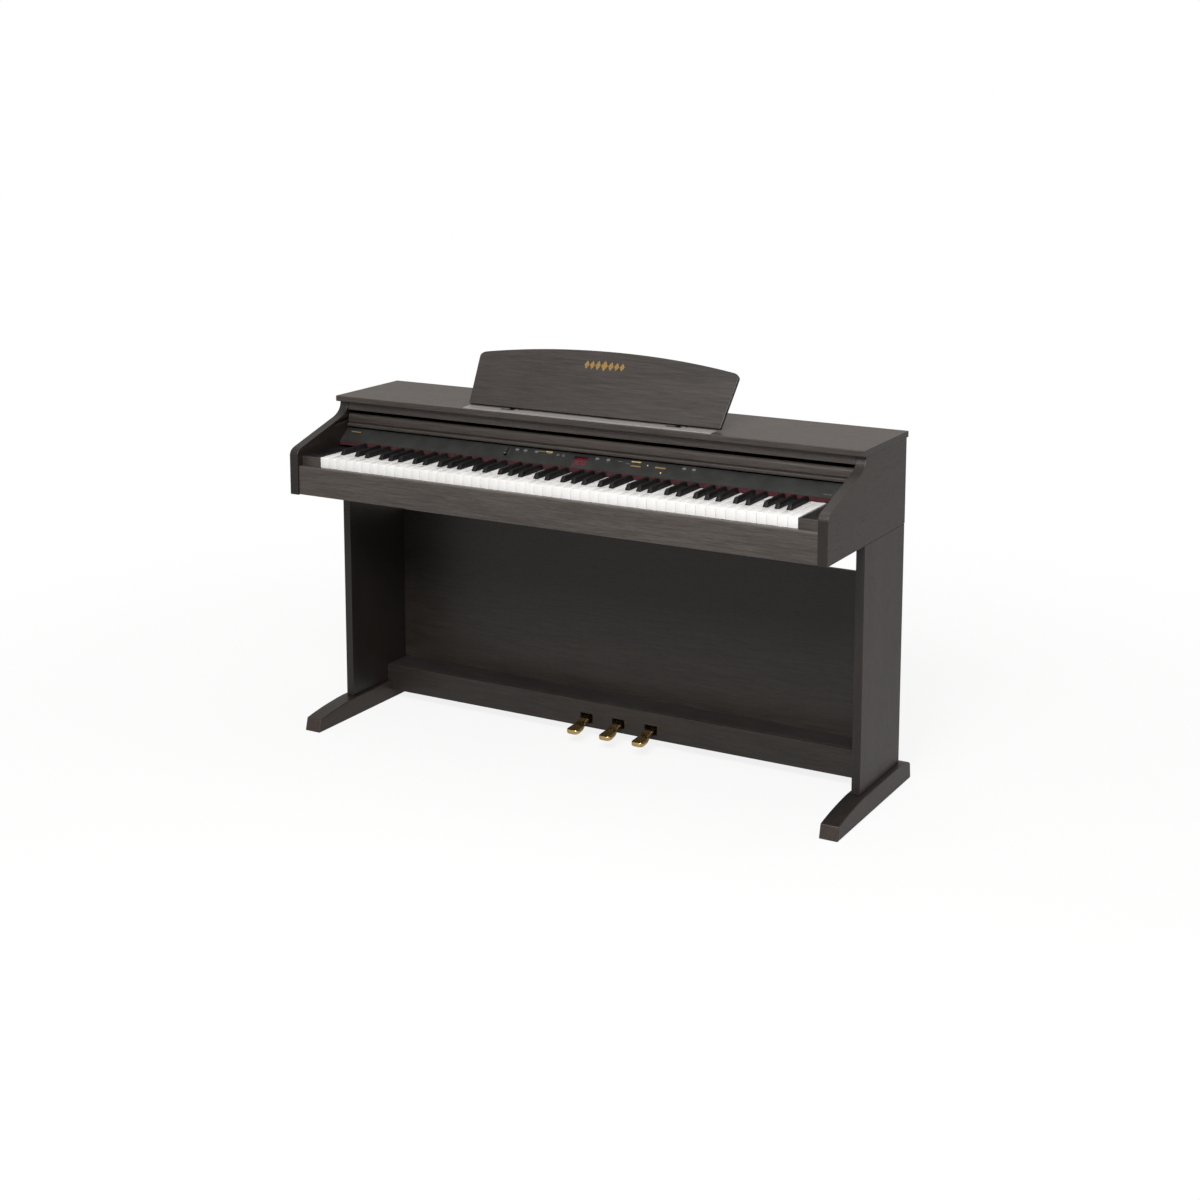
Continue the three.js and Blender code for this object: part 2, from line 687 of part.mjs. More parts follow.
// bull-nosed rail with a thin lip below it, the part a hand takes hold of
const coverEndTilt = (coverThickness / 2) * Math.sin(coverAngleAt(coverFrontY));
const railRearY = coverFrontY - coverEndTilt - fitGap;
const railTopRearY = railRearY - 10.2;
const railFrontY = topBoardFrontY + 12.4;
const railUndersideZ = keyTopZ + 51;
const lipFrontY = railFrontY - 5;
const lipTopZ = keyTopZ + 50.2;
const lipBottomZ = lipTopZ - 8;
const railOutline = new THREE.Shape();
railOutline.moveTo(railRearY, railUndersideZ + 0.5);
railOutline.lineTo(railRearY, coverRailTopZ - 1.5);
railOutline.lineTo(railTopRearY, coverRailTopZ);
railOutline.quadraticCurveTo(railFrontY + 0.2, coverRailTopZ, railFrontY, coverRailTopZ - 9);
railOutline.lineTo(railFrontY, railUndersideZ + 6);
railOutline.quadraticCurveTo(railFrontY, railUndersideZ + 0.4, railFrontY + 3.1, railUndersideZ);
railOutline.lineTo(railFrontY + 3.1, lipTopZ);
railOutline.lineTo(lipFrontY + 1.6, lipTopZ);
railOutline.quadraticCurveTo(lipFrontY, lipTopZ - 0.2, lipFrontY, lipTopZ - 4.2);
railOutline.quadraticCurveTo(lipFrontY, lipBottomZ + 0.2, lipFrontY + 1.8, lipBottomZ);
railOutline.lineTo(lipFrontY + 7.6, lipBottomZ);
railOutline.quadraticCurveTo(railTopRearY + 2, lipBottomZ + 0.8, railTopRearY + 3, lipTopZ - 0.2);
addPiece("key_cover_rail", alongKeyboard(railOutline, -coverHalf, coverHalf, 5), finishes.litWood);

// ---------- music desk: a leaning board with an arched top, on two hinges ----------
const deskLean = THREE.MathUtils.degToRad(33);
const deskBottomY = topBoardFrontY + 36;
const deskBottomZ = overallHeight + 8;
const deskThickness = 10;
const deskBottomHalf = cabinetWidth * 0.24;
const deskTopHalf = deskBottomHalf + 12;
const deskShoulder = 133.5;
const deskCrown = 161.5;
const deskCorner = 12;
const deskCentreX = 5;
const deskFrame = new THREE.Matrix4().makeBasis(
  new THREE.Vector3(1, 0, 0),
  new THREE.Vector3(0, Math.sin(deskLean), Math.cos(deskLean)),
  new THREE.Vector3(0, -Math.cos(deskLean), Math.sin(deskLean))
);
deskFrame.setPosition(deskCentreX, deskBottomY, deskBottomZ);

const deskOutline = new THREE.Shape();
deskOutline.moveTo(-deskBottomHalf + 2, 0);
deskOutline.lineTo(deskBottomHalf - 2, 0);
deskOutline.lineTo(deskBottomHalf, 2);
deskOutline.lineTo(deskTopHalf - 1, deskShoulder - deskCorner);
deskOutline.quadraticCurveTo(deskTopHalf, deskShoulder, deskTopHalf - deskCorner - 6, deskShoulder + 3);
deskOutline.quadraticCurveTo(
  deskTopHalf * 0.5, deskCrown, 0, deskCrown
);
deskOutline.quadraticCurveTo(
  -deskTopHalf * 0.5, deskCrown, -deskTopHalf + deskCorner + 6, deskShoulder + 3
);
deskOutline.quadraticCurveTo(-deskTopHalf, deskShoulder, -deskTopHalf + 1, deskShoulder - deskCorner);
deskOutline.lineTo(-deskBottomHalf, 2);
const deskBoard = upward(deskOutline, -deskThickness, 0, 12).applyMatrix4(deskFrame);
addPiece("music_desk", deskBoard, finishes.darkWood);

const hingeX = cabinetWidth * 0.159;
const hingeHalfWidth = 19;
const hingeAxisY = deskBottomY + 17;
const hingeAxisZ = deskBottomZ + 0.7;
const knuckleRadius = 3.2;
const baseLeafTopZ = overallHeight + fitGap + 1.5;
const ledgeRearY = topBoardFrontY + 32;
const knuckleHalf = 6; // of the middle knuckle, which belongs to the base leaf
const knuckleGapHalf = knuckleHalf + 0.6;
const leafThickness = 1.5;

function hingeBase(x) {
  return joined([
    boxBetween(
      x - hingeHalfWidth, x + hingeHalfWidth, ledgeRearY - 10.5, hingeAxisY + 24,
      overallHeight + fitGap, baseLeafTopZ
    ),
    boxBetween(
      x - knuckleHalf, x + knuckleHalf, hingeAxisY - 2.5, hingeAxisY + 2.5, baseLeafTopZ - 0.5, hingeAxisZ
    ),
    rodAlongKeyboard(x - knuckleHalf, x + knuckleHalf, hingeAxisY, hingeAxisZ, knuckleRadius),
  ]);
}
function hingeLeaf(x) {
  const leafPlate = boxBetween(
    x - hingeHalfWidth, x + hingeHalfWidth, 6, 30,
    -deskThickness - fitGap - leafThickness, -deskThickness - fitGap
  );
  return joined([
    leafPlate.applyMatrix4(deskFrame),
    rodAlongKeyboard(
      deskCentreX + x - hingeHalfWidth, deskCentreX + x - knuckleGapHalf,
      hingeAxisY, hingeAxisZ, knuckleRadius
    ),
    rodAlongKeyboard(
      deskCentreX + x + knuckleGapHalf, deskCentreX + x + hingeHalfWidth,
      hingeAxisY, hingeAxisZ, knuckleRadius
    ),
  ]).subtract(
    solidOf(
      boxBetween(
        x - knuckleGapHalf, x + knuckleGapHalf, 4, 14, -deskThickness - 10, -deskThickness - fitGap + 1
      ).applyMatrix4(deskFrame)
    )
  );
}
addPiece("desk_hinge_base_left", hingeBase(deskCentreX - hingeX), finishes.steel);
addPiece("desk_hinge_base_right", hingeBase(deskCentreX + hingeX), finishes.steel);
addPiece("desk_hinge_leaf_left", hingeLeaf(-hingeX), finishes.steel);
addPiece("desk_hinge_leaf_right", hingeLeaf(hingeX), finishes.steel);

// prop that holds the desk up from behind: a bracket on the desk and a swinging stay
const stayHeight = 98;
const stayOut = 4.2;
const stayLength = 82;
const stayRestAngle = THREE.MathUtils.degToRad(20);
const stayHalfWidth = 8;
const stayPivot = new THREE.Vector3(0, stayHeight, -deskThickness - stayOut).applyMatrix4(deskFrame);
const stayRoot = 3;
const bracketSpread = 12;
const stayThickness = 2.5;
const bracketPlate = boxBetween(
  -bracketSpread, bracketSpread, stayHeight - 10, stayHeight + 10,
  -deskThickness - fitGap - 0.8, -deskThickness - fitGap
);
const bracketEars = [-1, 1].map((side) =>
  boxBetween(
    side > 0 ? stayHalfWidth + 0.6 : -bracketSpread, side > 0 ? bracketSpread : -stayHalfWidth - 0.6,
    stayHeight - 4, stayHeight + 4, -deskThickness - stayOut - 3.4, -deskThickness - fitGap - 0.4
  )
);
addPiece(
  "stay_bracket",
  joined([bracketPlate, ...bracketEars].map((piece) => piece.applyMatrix4(deskFrame))),
  finishes.steel
);

const stayDirection = new THREE.Vector2(Math.sin(stayRestAngle), -Math.cos(stayRestAngle));
const stayAcross = new THREE.Vector2(Math.cos(stayRestAngle), Math.sin(stayRestAngle));
function stayPoint(along, across) {
  return [
    stayPivot.y + stayDirection.x * along + stayAcross.x * across,
    stayPivot.z + stayDirection.y * along + stayAcross.y * across,
  ];
}
const stayBar = alongKeyboard(
  [
    stayPoint(0, -stayThickness / 2),
    stayPoint(stayLength, -stayThickness / 2),
    stayPoint(stayLength, stayThickness / 2),
    stayPoint(0, stayThickness / 2),
  ],
  deskCentreX - stayHalfWidth, deskCentreX + stayHalfWidth
);
const stayFoot = stayPoint(stayLength, 0);
addPiece(
  "desk_stay",
  joined([
    stayBar,
    rodAlongKeyboard(
      deskCentreX - stayHalfWidth, deskCentreX + stayHalfWidth, stayPivot.y, stayPivot.z, stayRoot
    ),
    rodAlongKeyboard(
      deskCentreX - stayHalfWidth, deskCentreX + stayHalfWidth, stayFoot[0], stayFoot[1], 2, 16
    ),
  ]),
  finishes.steel
);

// low ledge in front of the desk, cut back where the hinges reach forward
const ledgeHalf = deskBottomHalf - 6;
const ledgeFrontY = topBoardFrontY + 2;
const notchFrontY = ledgeRearY - 11.5;
const notchHalf = hingeHalfWidth + 1;
const ledgeOutline = [
  [-ledgeHalf, ledgeFrontY],
  [ledgeHalf, ledgeFrontY],
  [ledgeHalf, ledgeRearY],
  [hingeX + notchHalf, ledgeRearY],
  [hingeX + notchHalf, notchFrontY],
  [hingeX - notchHalf, notchFrontY],
  [hingeX - notchHalf, ledgeRearY],
  [-hingeX + notchHalf, ledgeRearY],
  [-hingeX + notchHalf, notchFrontY],
  [-hingeX - notchHalf, notchFrontY],
  [-hingeX - notchHalf, ledgeRearY],
  [-ledgeHalf, ledgeRearY],
];
const ledgeTopZ = overallHeight + 3.8;
const ledge = upward(ledgeOutline, overallHeight + fitGap, ledgeTopZ).translate(deskCentreX, 0, 0);
addPiece("music_ledge", ledge, finishes.satinStrip);

// ---------- stand: legs, feet, back panel ----------
const legThickness = 20;
const legFrontY = 204;
const legRearY = cabinetDepth - 2;
const legOuterX = cabinetHalf;
const legInnerX = legOuterX - legThickness;
const footHeight = 47;
const footOuterX = legOuterX + 13;
const footInnerX = legInnerX - 10;
const leg = boxBetween(
  legInnerX, legOuterX, legFrontY, legRearY, footHeight + fitGap, cabinetBottomZ - fitGap
);
addPiece("leg_left", mirrored(leg), finishes.darkWood);
addPiece("leg_right", leg, finishes.darkWood);

const footToeHeight = 31;
const footHeelHeight = 34;
const footOutline = new THREE.Shape();
footOutline.moveTo(footFrontY, 0);
footOutline.lineTo(footRearY, 0);
footOutline.lineTo(footRearY - 3, footHeelHeight);
footOutline.quadraticCurveTo(footRearY - 10, footHeight - 5, legRearY + 6, footHeight);
footOutline.lineTo(legFrontY - 6, footHeight);
footOutline.quadraticCurveTo(footFrontY + 70, footHeight - 4, footFrontY + 8, footToeHeight);
const foot = alongKeyboard(footOutline, footInnerX, footOuterX, 8);
addPiece("foot_left", mirrored(foot), finishes.darkWood);
addPiece("foot_right", foot, finishes.darkWood);

const standBoardHalf = legInnerX - fitGap;
const backPanelThickness = 8;
const backPanelFrontY = legRearY - backPanelThickness;
const backPanelTopZ = cabinetBottomZ - 122; // leaves a gap under the cabinet
const pedalBoardBottomZ = 25;
const pedalBoardTopZ = 90;
const pedalBoardFrontY = 350;
const pedalBoardThickness = 14;
// A board between the legs, with its lower corners cut away around the feet.
function boardBetweenLegs(frontY, rearY, bottomZ, topZ) {
  const board = solidOf(boxBetween(-standBoardHalf, standBoardHalf, frontY, rearY, bottomZ, topZ));
  const corner = boxBetween(
    footInnerX - fitGap, standBoardHalf + 1, frontY - 1, rearY + 1, bottomZ - 1, footHeight + fitGap
  );
  return board.subtract(solidOf(corner)).subtract(solidOf(mirrored(corner)));
}
addPiece(
  "stand_back_panel",
  boardBetweenLegs(backPanelFrontY, legRearY, pedalBoardBottomZ, backPanelTopZ),
  finishes.darkWood
);

// ---------- pedal box: front board with three slots, top board, pivot bracket, pedals ----------
const pedalSpacing = 88;
const pedalCentreX = 9;
const pedalPositions = [pedalCentreX - pedalSpacing, pedalCentreX, pedalCentreX + pedalSpacing];
const slotHalfWidth = 17;
const slotBottomZ = 35;
const slotTopZ = 59;
const pedalBoardRearY = pedalBoardFrontY + pedalBoardThickness;
const pedalBoard = pedalPositions.reduce(
  (board, x) =>
    board.subtract(
      solidOf(
        boxBetween(
          x - slotHalfWidth, x + slotHalfWidth,
          pedalBoardFrontY - 1, pedalBoardRearY + 1, slotBottomZ, slotTopZ
        )
      )
    ),
  boardBetweenLegs(pedalBoardFrontY, pedalBoardRearY, pedalBoardBottomZ, pedalBoardTopZ)
);
addPiece("pedal_board", pedalBoard, finishes.darkWood);

const boxTopThickness = 14;
addPiece(
  "pedal_box_top",
  boxBetween(
    -standBoardHalf, standBoardHalf, pedalBoardRearY + fitGap, backPanelFrontY - fitGap,
    pedalBoardTopZ - boxTopThickness, pedalBoardTopZ
  ),
  finishes.darkWood
);

const pedalPivotY = 396;
const pedalPivotZ = 46;
const pedalToeY = pedalBoardFrontY - 73;
const pedalToeHalf = 17;
const pedalNeckHalf = 7.5;
const pedalNeckTopZ = pedalPivotZ + 5;
const pedalToeTopZ = pedalPivotZ - 6;
const pedalLipBottomZ = pedalPivotZ - 18.5;
const pivotRodRadius = 3.5;
const pedalHubRadius = 7.5;
const pedalHubHalfWidth = 9;
const bracketHalf = pedalSpacing + 24;
const bracketTopZ = pedalBoardTopZ - boxTopThickness - fitGap;
const lugThickness = 3;
const lugBottomZ = pedalPivotZ - 10;
const pedalLugs = pedalPositions.flatMap((x) =>
  [x - pedalHubHalfWidth - 1 - lugThickness, x + pedalHubHalfWidth + 1].map((lugX) =>
    boxBetween(lugX, lugX + lugThickness, pedalPivotY - 9, pedalPivotY + 9, lugBottomZ, bracketTopZ - 1)
  )
);
addPiece(
  "pedal_bracket",
  joined([
    boxBetween(
      pedalCentreX - bracketHalf, pedalCentreX + bracketHalf,
      pedalPivotY - 14, pedalPivotY + 14, bracketTopZ - 3, bracketTopZ
    ),
    rodAlongKeyboard(
      pedalCentreX - bracketHalf + 8, pedalCentreX + bracketHalf - 8,
      pedalPivotY, pedalPivotZ, pivotRodRadius, 20
    ),
    ...pedalLugs,
  ]),
  finishes.steel
);

// A brass pedal: a lever that dips from the slot to a broad rounded toe with a deep front lip.
function pedal(x) {
  const side = new THREE.Shape();
  side.moveTo(pedalPivotY, pedalPivotZ + 4);
  side.lineTo(pedalBoardFrontY - 6, pedalNeckTopZ);
  side.bezierCurveTo(
    pedalToeY + 52, pedalNeckTopZ, pedalToeY + 44, pedalToeTopZ + 0.5, pedalToeY + 22, pedalToeTopZ
  );
  side.lineTo(pedalToeY + 8, pedalToeTopZ);
  side.quadraticCurveTo(pedalToeY, pedalToeTopZ - 0.5, pedalToeY, pedalToeTopZ - 7);
  side.quadraticCurveTo(pedalToeY, pedalLipBottomZ, pedalToeY + 4, pedalLipBottomZ);
  side.bezierCurveTo(
    pedalToeY + 26, pedalLipBottomZ + 3.5, pedalToeY + 44, pedalPivotZ - 5,
    pedalBoardFrontY - 4, pedalPivotZ - 4
  );
  side.lineTo(pedalPivotY, pedalPivotZ - 4);
  const plan = new THREE.Shape();
  plan.moveTo(x - pedalNeckHalf, pedalPivotY + 1);
  plan.lineTo(x - pedalNeckHalf, pedalToeY + 54);
  plan.quadraticCurveTo(x - pedalNeckHalf, pedalToeY + 36, x - pedalToeHalf, pedalToeY + 24);
  plan.lineTo(x - pedalToeHalf, pedalToeY + 12);
  plan.quadraticCurveTo(x - pedalToeHalf, pedalToeY, x, pedalToeY);
  plan.quadraticCurveTo(x + pedalToeHalf, pedalToeY, x + pedalToeHalf, pedalToeY + 12);
  plan.lineTo(x + pedalToeHalf, pedalToeY + 24);
  plan.quadraticCurveTo(x + pedalNeckHalf, pedalToeY + 36, x + pedalNeckHalf, pedalToeY + 54);
  plan.lineTo(x + pedalNeckHalf, pedalPivotY + 1);
  const reach = pedalToeHalf + 3;
  const lever = solidOf(alongKeyboard(side, x - reach, x + reach, 7)).intersect(
    solidOf(upward(plan, pedalPivotZ - 30, pedalPivotZ + 12, 7))
  );
  const hub = rodAlongKeyboard(
    x - pedalHubHalfWidth, x + pedalHubHalfWidth, pedalPivotY, pedalPivotZ, pedalHubRadius
  );
  const bore = rodAlongKeyboard(
    x - pedalHubHalfWidth - 1, x + pedalHubHalfWidth + 1, pedalPivotY, pedalPivotZ, pivotRodRadius + 0.5, 20
  );
  return lever.add(solidOf(hub)).subtract(solidOf(bore));
}
["pedal_left", "pedal_middle", "pedal_right"].forEach((name, place) => {
  addPiece(name, pedal(pedalPositions[place]), finishes.brass);
});

export default piano;
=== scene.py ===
import json
import math

import bmesh
import bpy
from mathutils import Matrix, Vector


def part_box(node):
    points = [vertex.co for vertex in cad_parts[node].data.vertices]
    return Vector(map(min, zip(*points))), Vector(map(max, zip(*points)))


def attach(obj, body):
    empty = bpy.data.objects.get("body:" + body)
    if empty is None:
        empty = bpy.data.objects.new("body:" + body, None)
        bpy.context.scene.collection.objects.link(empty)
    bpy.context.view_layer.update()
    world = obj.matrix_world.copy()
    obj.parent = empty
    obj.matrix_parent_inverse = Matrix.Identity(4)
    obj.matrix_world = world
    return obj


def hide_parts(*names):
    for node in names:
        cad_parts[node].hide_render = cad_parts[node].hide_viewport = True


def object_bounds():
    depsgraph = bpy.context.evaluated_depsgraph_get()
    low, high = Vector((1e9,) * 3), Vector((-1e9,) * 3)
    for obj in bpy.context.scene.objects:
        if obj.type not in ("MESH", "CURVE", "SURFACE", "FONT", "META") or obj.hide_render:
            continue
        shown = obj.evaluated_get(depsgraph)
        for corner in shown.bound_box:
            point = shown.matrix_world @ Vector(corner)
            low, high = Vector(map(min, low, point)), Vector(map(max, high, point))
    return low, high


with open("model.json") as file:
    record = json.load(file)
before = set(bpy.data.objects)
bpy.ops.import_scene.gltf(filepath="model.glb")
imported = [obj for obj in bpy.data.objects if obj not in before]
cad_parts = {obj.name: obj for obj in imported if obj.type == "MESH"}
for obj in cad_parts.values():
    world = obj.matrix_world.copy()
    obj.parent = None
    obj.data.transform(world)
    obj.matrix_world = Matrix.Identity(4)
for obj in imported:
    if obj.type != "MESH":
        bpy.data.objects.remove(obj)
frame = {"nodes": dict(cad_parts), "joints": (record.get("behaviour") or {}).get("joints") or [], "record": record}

# A digital piano on its stand. The boards and fittings of the CAD frame stay and get their finish and
# softened edges; keys, pedals, buttons, slider, key blocks and small fittings are shaped here.
# Metres in the row frame: X to the treble end, Y to the back, Z up.

MM = 0.001
nodes = frame["nodes"]
joints = {joint["name"]: joint for joint in frame["joints"]}
cad_low, cad_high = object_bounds()
scene = bpy.context.scene


# ---------- shader building ----------
def add_node(tree, kind, inputs=None, **settings):
    """One shader node; an input is a value or the socket that feeds it."""
    node = tree.nodes.new(kind)
    for name, value in settings.items():
        setattr(node, name, value)
    for name, value in (inputs or {}).items():
        if isinstance(value, bpy.types.NodeSocket):
            tree.links.new(value, node.inputs[name])
        else:
            node.inputs[name].default_value = value
    return node


def math_node(tree, operation, first, second=0.0, clamp=False):
    sockets = {0: first, 1: second}
    return add_node(tree, "ShaderNodeMath", sockets, operation=operation, use_clamp=clamp).outputs[0]


def times(tree, first, second, clamp=False):
    return math_node(tree, "MULTIPLY", first, second, clamp)


def plus(tree, first, second, clamp=False):
    return math_node(tree, "ADD", first, second, clamp)


def scaled_vector(tree, vector, scale):
    return add_node(tree, "ShaderNodeVectorMath", {0: vector, 1: scale}, operation="MULTIPLY").outputs[0]


def noise(tree, vector, scale, detail=2.0, roughness=0.5, distortion=0.0):
    sockets = {
        "Vector": vector, "Scale": scale, "Detail": detail, "Roughness": roughness, "Distortion": distortion,
    }
    return add_node(tree, "ShaderNodeTexNoise", sockets).outputs["Fac"]


def ranged(tree, value, low, high, to_low=0.0, to_high=1.0):
    """The value between low and high, spread over to_low and to_high."""
    sockets = {"Value": value, "From Min": low, "From Max": high, "To Min": to_low, "To Max": to_high}
    return add_node(tree, "ShaderNodeMapRange", sockets, interpolation_type="SMOOTHSTEP").outputs["Result"]


def mixed_colour(tree, share, first, second):
    node = add_node(tree, "ShaderNodeMix", data_type="RGBA")
    for place, value in ((0, share), (6, first), (7, second)):
        if isinstance(value, bpy.types.NodeSocket):
            tree.links.new(value, node.inputs[place])
        else:
            node.inputs[place].default_value = value
    return node.outputs[2]


def new_group(name, inputs, outputs):
    group = bpy.data.node_groups.new(name, "ShaderNodeTree")
    for label, kind, value in inputs:
        socket = group.interface.new_socket(label, in_out="INPUT", socket_type=kind)
        if value is not None:
            socket.default_value = value
    for label, kind in outputs:
        group.interface.new_socket(label, in_out="OUTPUT", socket_type=kind)
    entry = group.nodes.new("NodeGroupInput")
    exit_ = group.nodes.new("NodeGroupOutput")
    return group, entry.outputs, exit_.inputs


def placed_group(tree, group, **inputs):
    """The group in a material, with its own values; underscores stand for spaces in the input names."""
    node = tree.nodes.new("ShaderNodeGroup")
    node.node_tree = group
    for name, value in inputs.items():
        socket = node.inputs[name.replace("_", " ")]
        if isinstance(value, bpy.types.NodeSocket):
            tree.links.new(value, socket)
        else:
            socket.default_value = value
    return node.outputs


FLOAT, VECTOR, COLOUR = "NodeSocketFloat", "NodeSocketVector", "NodeSocketColor"


def build_wood_grain():
    """Open-pored dark veneer: slow figure, fine streaks and short pores, all along the vector's X."""
    tree, given, result = new_group(
        "wood_grain",
        [("Along", VECTOR, None), ("Dark", COLOUR, (0.02, 0.017, 0.015, 1)),
         ("Light", COLOUR, (0.1, 0.09, 0.08, 1)), ("Pore Depth", FLOAT, 1.0)],
        [("Colour", COLOUR), ("Roughness", FLOAT), ("Height", FLOAT)],
    )
    figure = noise(tree, scaled_vector(tree, given["Along"], (2.5, 24.0, 24.0)), 1.0, 5.0, 0.65, 0.6)
    streak = noise(tree, scaled_vector(tree, given["Along"], (14.0, 420.0, 420.0)), 1.0, 4.0, 0.65, 0.2)
    pore = noise(tree, scaled_vector(tree, given["Along"], (45.0, 1900.0, 1900.0)), 1.0, 1.0, 0.5)
    pores = ranged(tree, pore, 0.56, 0.7)
    both = plus(tree, times(tree, figure, 0.3), times(tree, streak, 0.7))
    share = ranged(tree, both, 0.25, 0.75)
    veneer = mixed_colour(tree, share, given["Dark"], given["Light"])
    pore_colour = mixed_colour(tree, 0.75, veneer, (0.004, 0.0035, 0.003, 1))
    tree.links.new(mixed_colour(tree, times(tree, pores, 0.75), veneer, pore_colour), result["Colour"])
    gloss = plus(tree, ranged(tree, streak, 0.3, 0.7, 0.0, 0.1), times(tree, pores, 0.15))
    tree.links.new(gloss, result["Roughness"])
    hollow = times(tree, pores, times(tree, given["Pore Depth"], -1.0))
    tree.links.new(plus(tree, hollow, times(tree, streak, 0.35)), result["Height"])
    return tree


def build_edge_wear():
    """Mask of edges, for rubbed wear and, on the veneer, partly for a painted highlight: where the rounded normal
    leaves the true one, broken up by noise.
    """
    tree, given, result = new_group(
        "edge_wear_and_highlight",
        [("Vector", VECTOR, None), ("Width", FLOAT, 0.0015), ("Amount", FLOAT, 1.0)],
        [("Mask", FLOAT)],
    )
    rounded = add_node(tree, "ShaderNodeBevel", {"Radius": given["Width"]}, samples=4).outputs["Normal"]
    true_normal = add_node(tree, "ShaderNodeNewGeometry").outputs["Normal"]
    agree = add_node(tree, "ShaderNodeVectorMath", {0: rounded, 1: true_normal}, operation="DOT_PRODUCT")
    edge = ranged(tree, agree.outputs["Value"], 0.995, 0.86)
    patchy = ranged(tree, noise(tree, given["Vector"], 70.0, 4.0, 0.65), 0.3, 0.62, 0.25, 1.0)
    tree.links.new(
        times(tree, times(tree, edge, patchy), given["Amount"], True), result["Mask"]
    )
    return tree


def build_settled_dust():
    """Mask of thin dust on faces that look up, in soft patches with fine specks."""
    tree, given, result = new_group(
        "settled_dust",
        [("Vector", VECTOR, None), ("Amount", FLOAT, 1.0)],
        [("Mask", FLOAT)],
    )
    normal = add_node(tree, "ShaderNodeNewGeometry").outputs["Normal"]
    upward = ranged(tree, add_node(tree, "ShaderNodeSeparateXYZ", {0: normal}).outputs["Z"], 0.35, 0.98)
    patches = ranged(tree, noise(tree, given["Vector"], 7.0, 5.0, 0.6), 0.35, 0.7, 0.35, 1.0)
    specks = ranged(tree, noise(tree, given["Vector"], 900.0, 1.0), 0.62, 0.74, 0.0, 0.8)
    dusty = times(tree, upward, plus(tree, patches, specks))
    tree.links.new(times(tree, dusty, given["Amount"], True), result["Mask"])
    return tree


def build_handling():
    """Traces of hands on smooth plastic and metal: cloudy smears for the gloss and hair scratches."""
    tree, given, result = new_group(
        "handling_marks",
        [("Vector", VECTOR, None), ("Smear Size", FLOAT, 30.0), ("Scratch Size", FLOAT, 160.0)],
        [("Smears", FLOAT), ("Scratches", FLOAT)],
    )
    cloudy = noise(tree, given["Vector"], given["Smear Size"], 5.0, 0.6, 1.2)
    tree.links.new(ranged(tree, cloudy, 0.35, 0.68), result["Smears"])
    stretched = scaled_vector(tree, given["Vector"], (1.0, 9.0, 9.0))
    slanted = {"Vector": stretched, "Angle": 0.5}
    turned = add_node(tree, "ShaderNodeVectorRotate", slanted, rotation_type="Z_AXIS").outputs[0]
    hair = noise(tree, turned, given["Scratch Size"], 2.0, 0.7, 0.4)
    off_line = math_node(tree, "ABSOLUTE", math_node(tree, "SUBTRACT", hair, 0.5))
    tree.links.new(ranged(tree, off_line, 0.012, 0.0), result["Scratches"])
    return tree


def build_moulded_skin():
    """Fine eroded texture of moulded plastic, with slightly uneven colour."""
    tree, given, result = new_group(
        "moulded_skin",
        [("Vector", VECTOR, None), ("Grain Size", FLOAT, 1400.0), ("Base", COLOUR, (0.03, 0.03, 0.03, 1))],
        [("Colour", COLOUR), ("Roughness", FLOAT), ("Height", FLOAT)],
    )
    sockets = {"Vector": given["Vector"], "Scale": given["Grain Size"]}
    pebbles = add_node(tree, "ShaderNodeTexVoronoi", sockets)
    tree.links.new(pebbles.outputs["Distance"], result["Height"])
    cloudy = ranged(tree, noise(tree, given["Vector"], 18.0, 4.0, 0.6), 0.3, 0.7)
    lighter = mixed_colour(tree, 0.03, given["Base"], (0.35, 0.34, 0.33, 1))
    tree.links.new(mixed_colour(tree, cloudy, given["Base"], lighter), result["Colour"])
    tree.links.new(ranged(tree, cloudy, 0.0, 1.0, -0.02, 0.03), result["Roughness"])
    return tree


wood_grain = build_wood_grain()
edge_wear_and_highlight = build_edge_wear()
settled_dust = build_settled_dust()
handling_marks = build_handling()
moulded_skin = build_moulded_skin()


# ---------- finishes ----------
def new_material(name, roughness=0.4, metallic=0.0, coat=0.0, coat_roughness=0.2, **sockets):
    material = bpy.data.materials.new(name)
    material.use_nodes = True
    tree = material.node_tree
    shader = tree.nodes["Principled BSDF"]
    shader.inputs["Roughness"].default_value = roughness
    shader.inputs["Metallic"].default_value = metallic
    shader.inputs["Coat Weight"].default_value = coat
    shader.inputs["Coat Roughness"].default_value = coat_roughness
    for socket, value in sockets.items():
        shader.inputs[socket.replace("_", " ")].default_value = value
    place = add_node(tree, "ShaderNodeTexCoord").outputs["Object"]
    return material, tree, shader, place


def add_bump(tree, shader, height, depth, strength=1.0):
    bump = add_node(tree, "ShaderNodeBump", {"Height": height, "Strength": strength, "Distance": depth})
    tree.links.new(bump.outputs["Normal"], shader.inputs["Normal"])


UPPER_FACE = 0.75  # a face looks up when its normal rises more than this


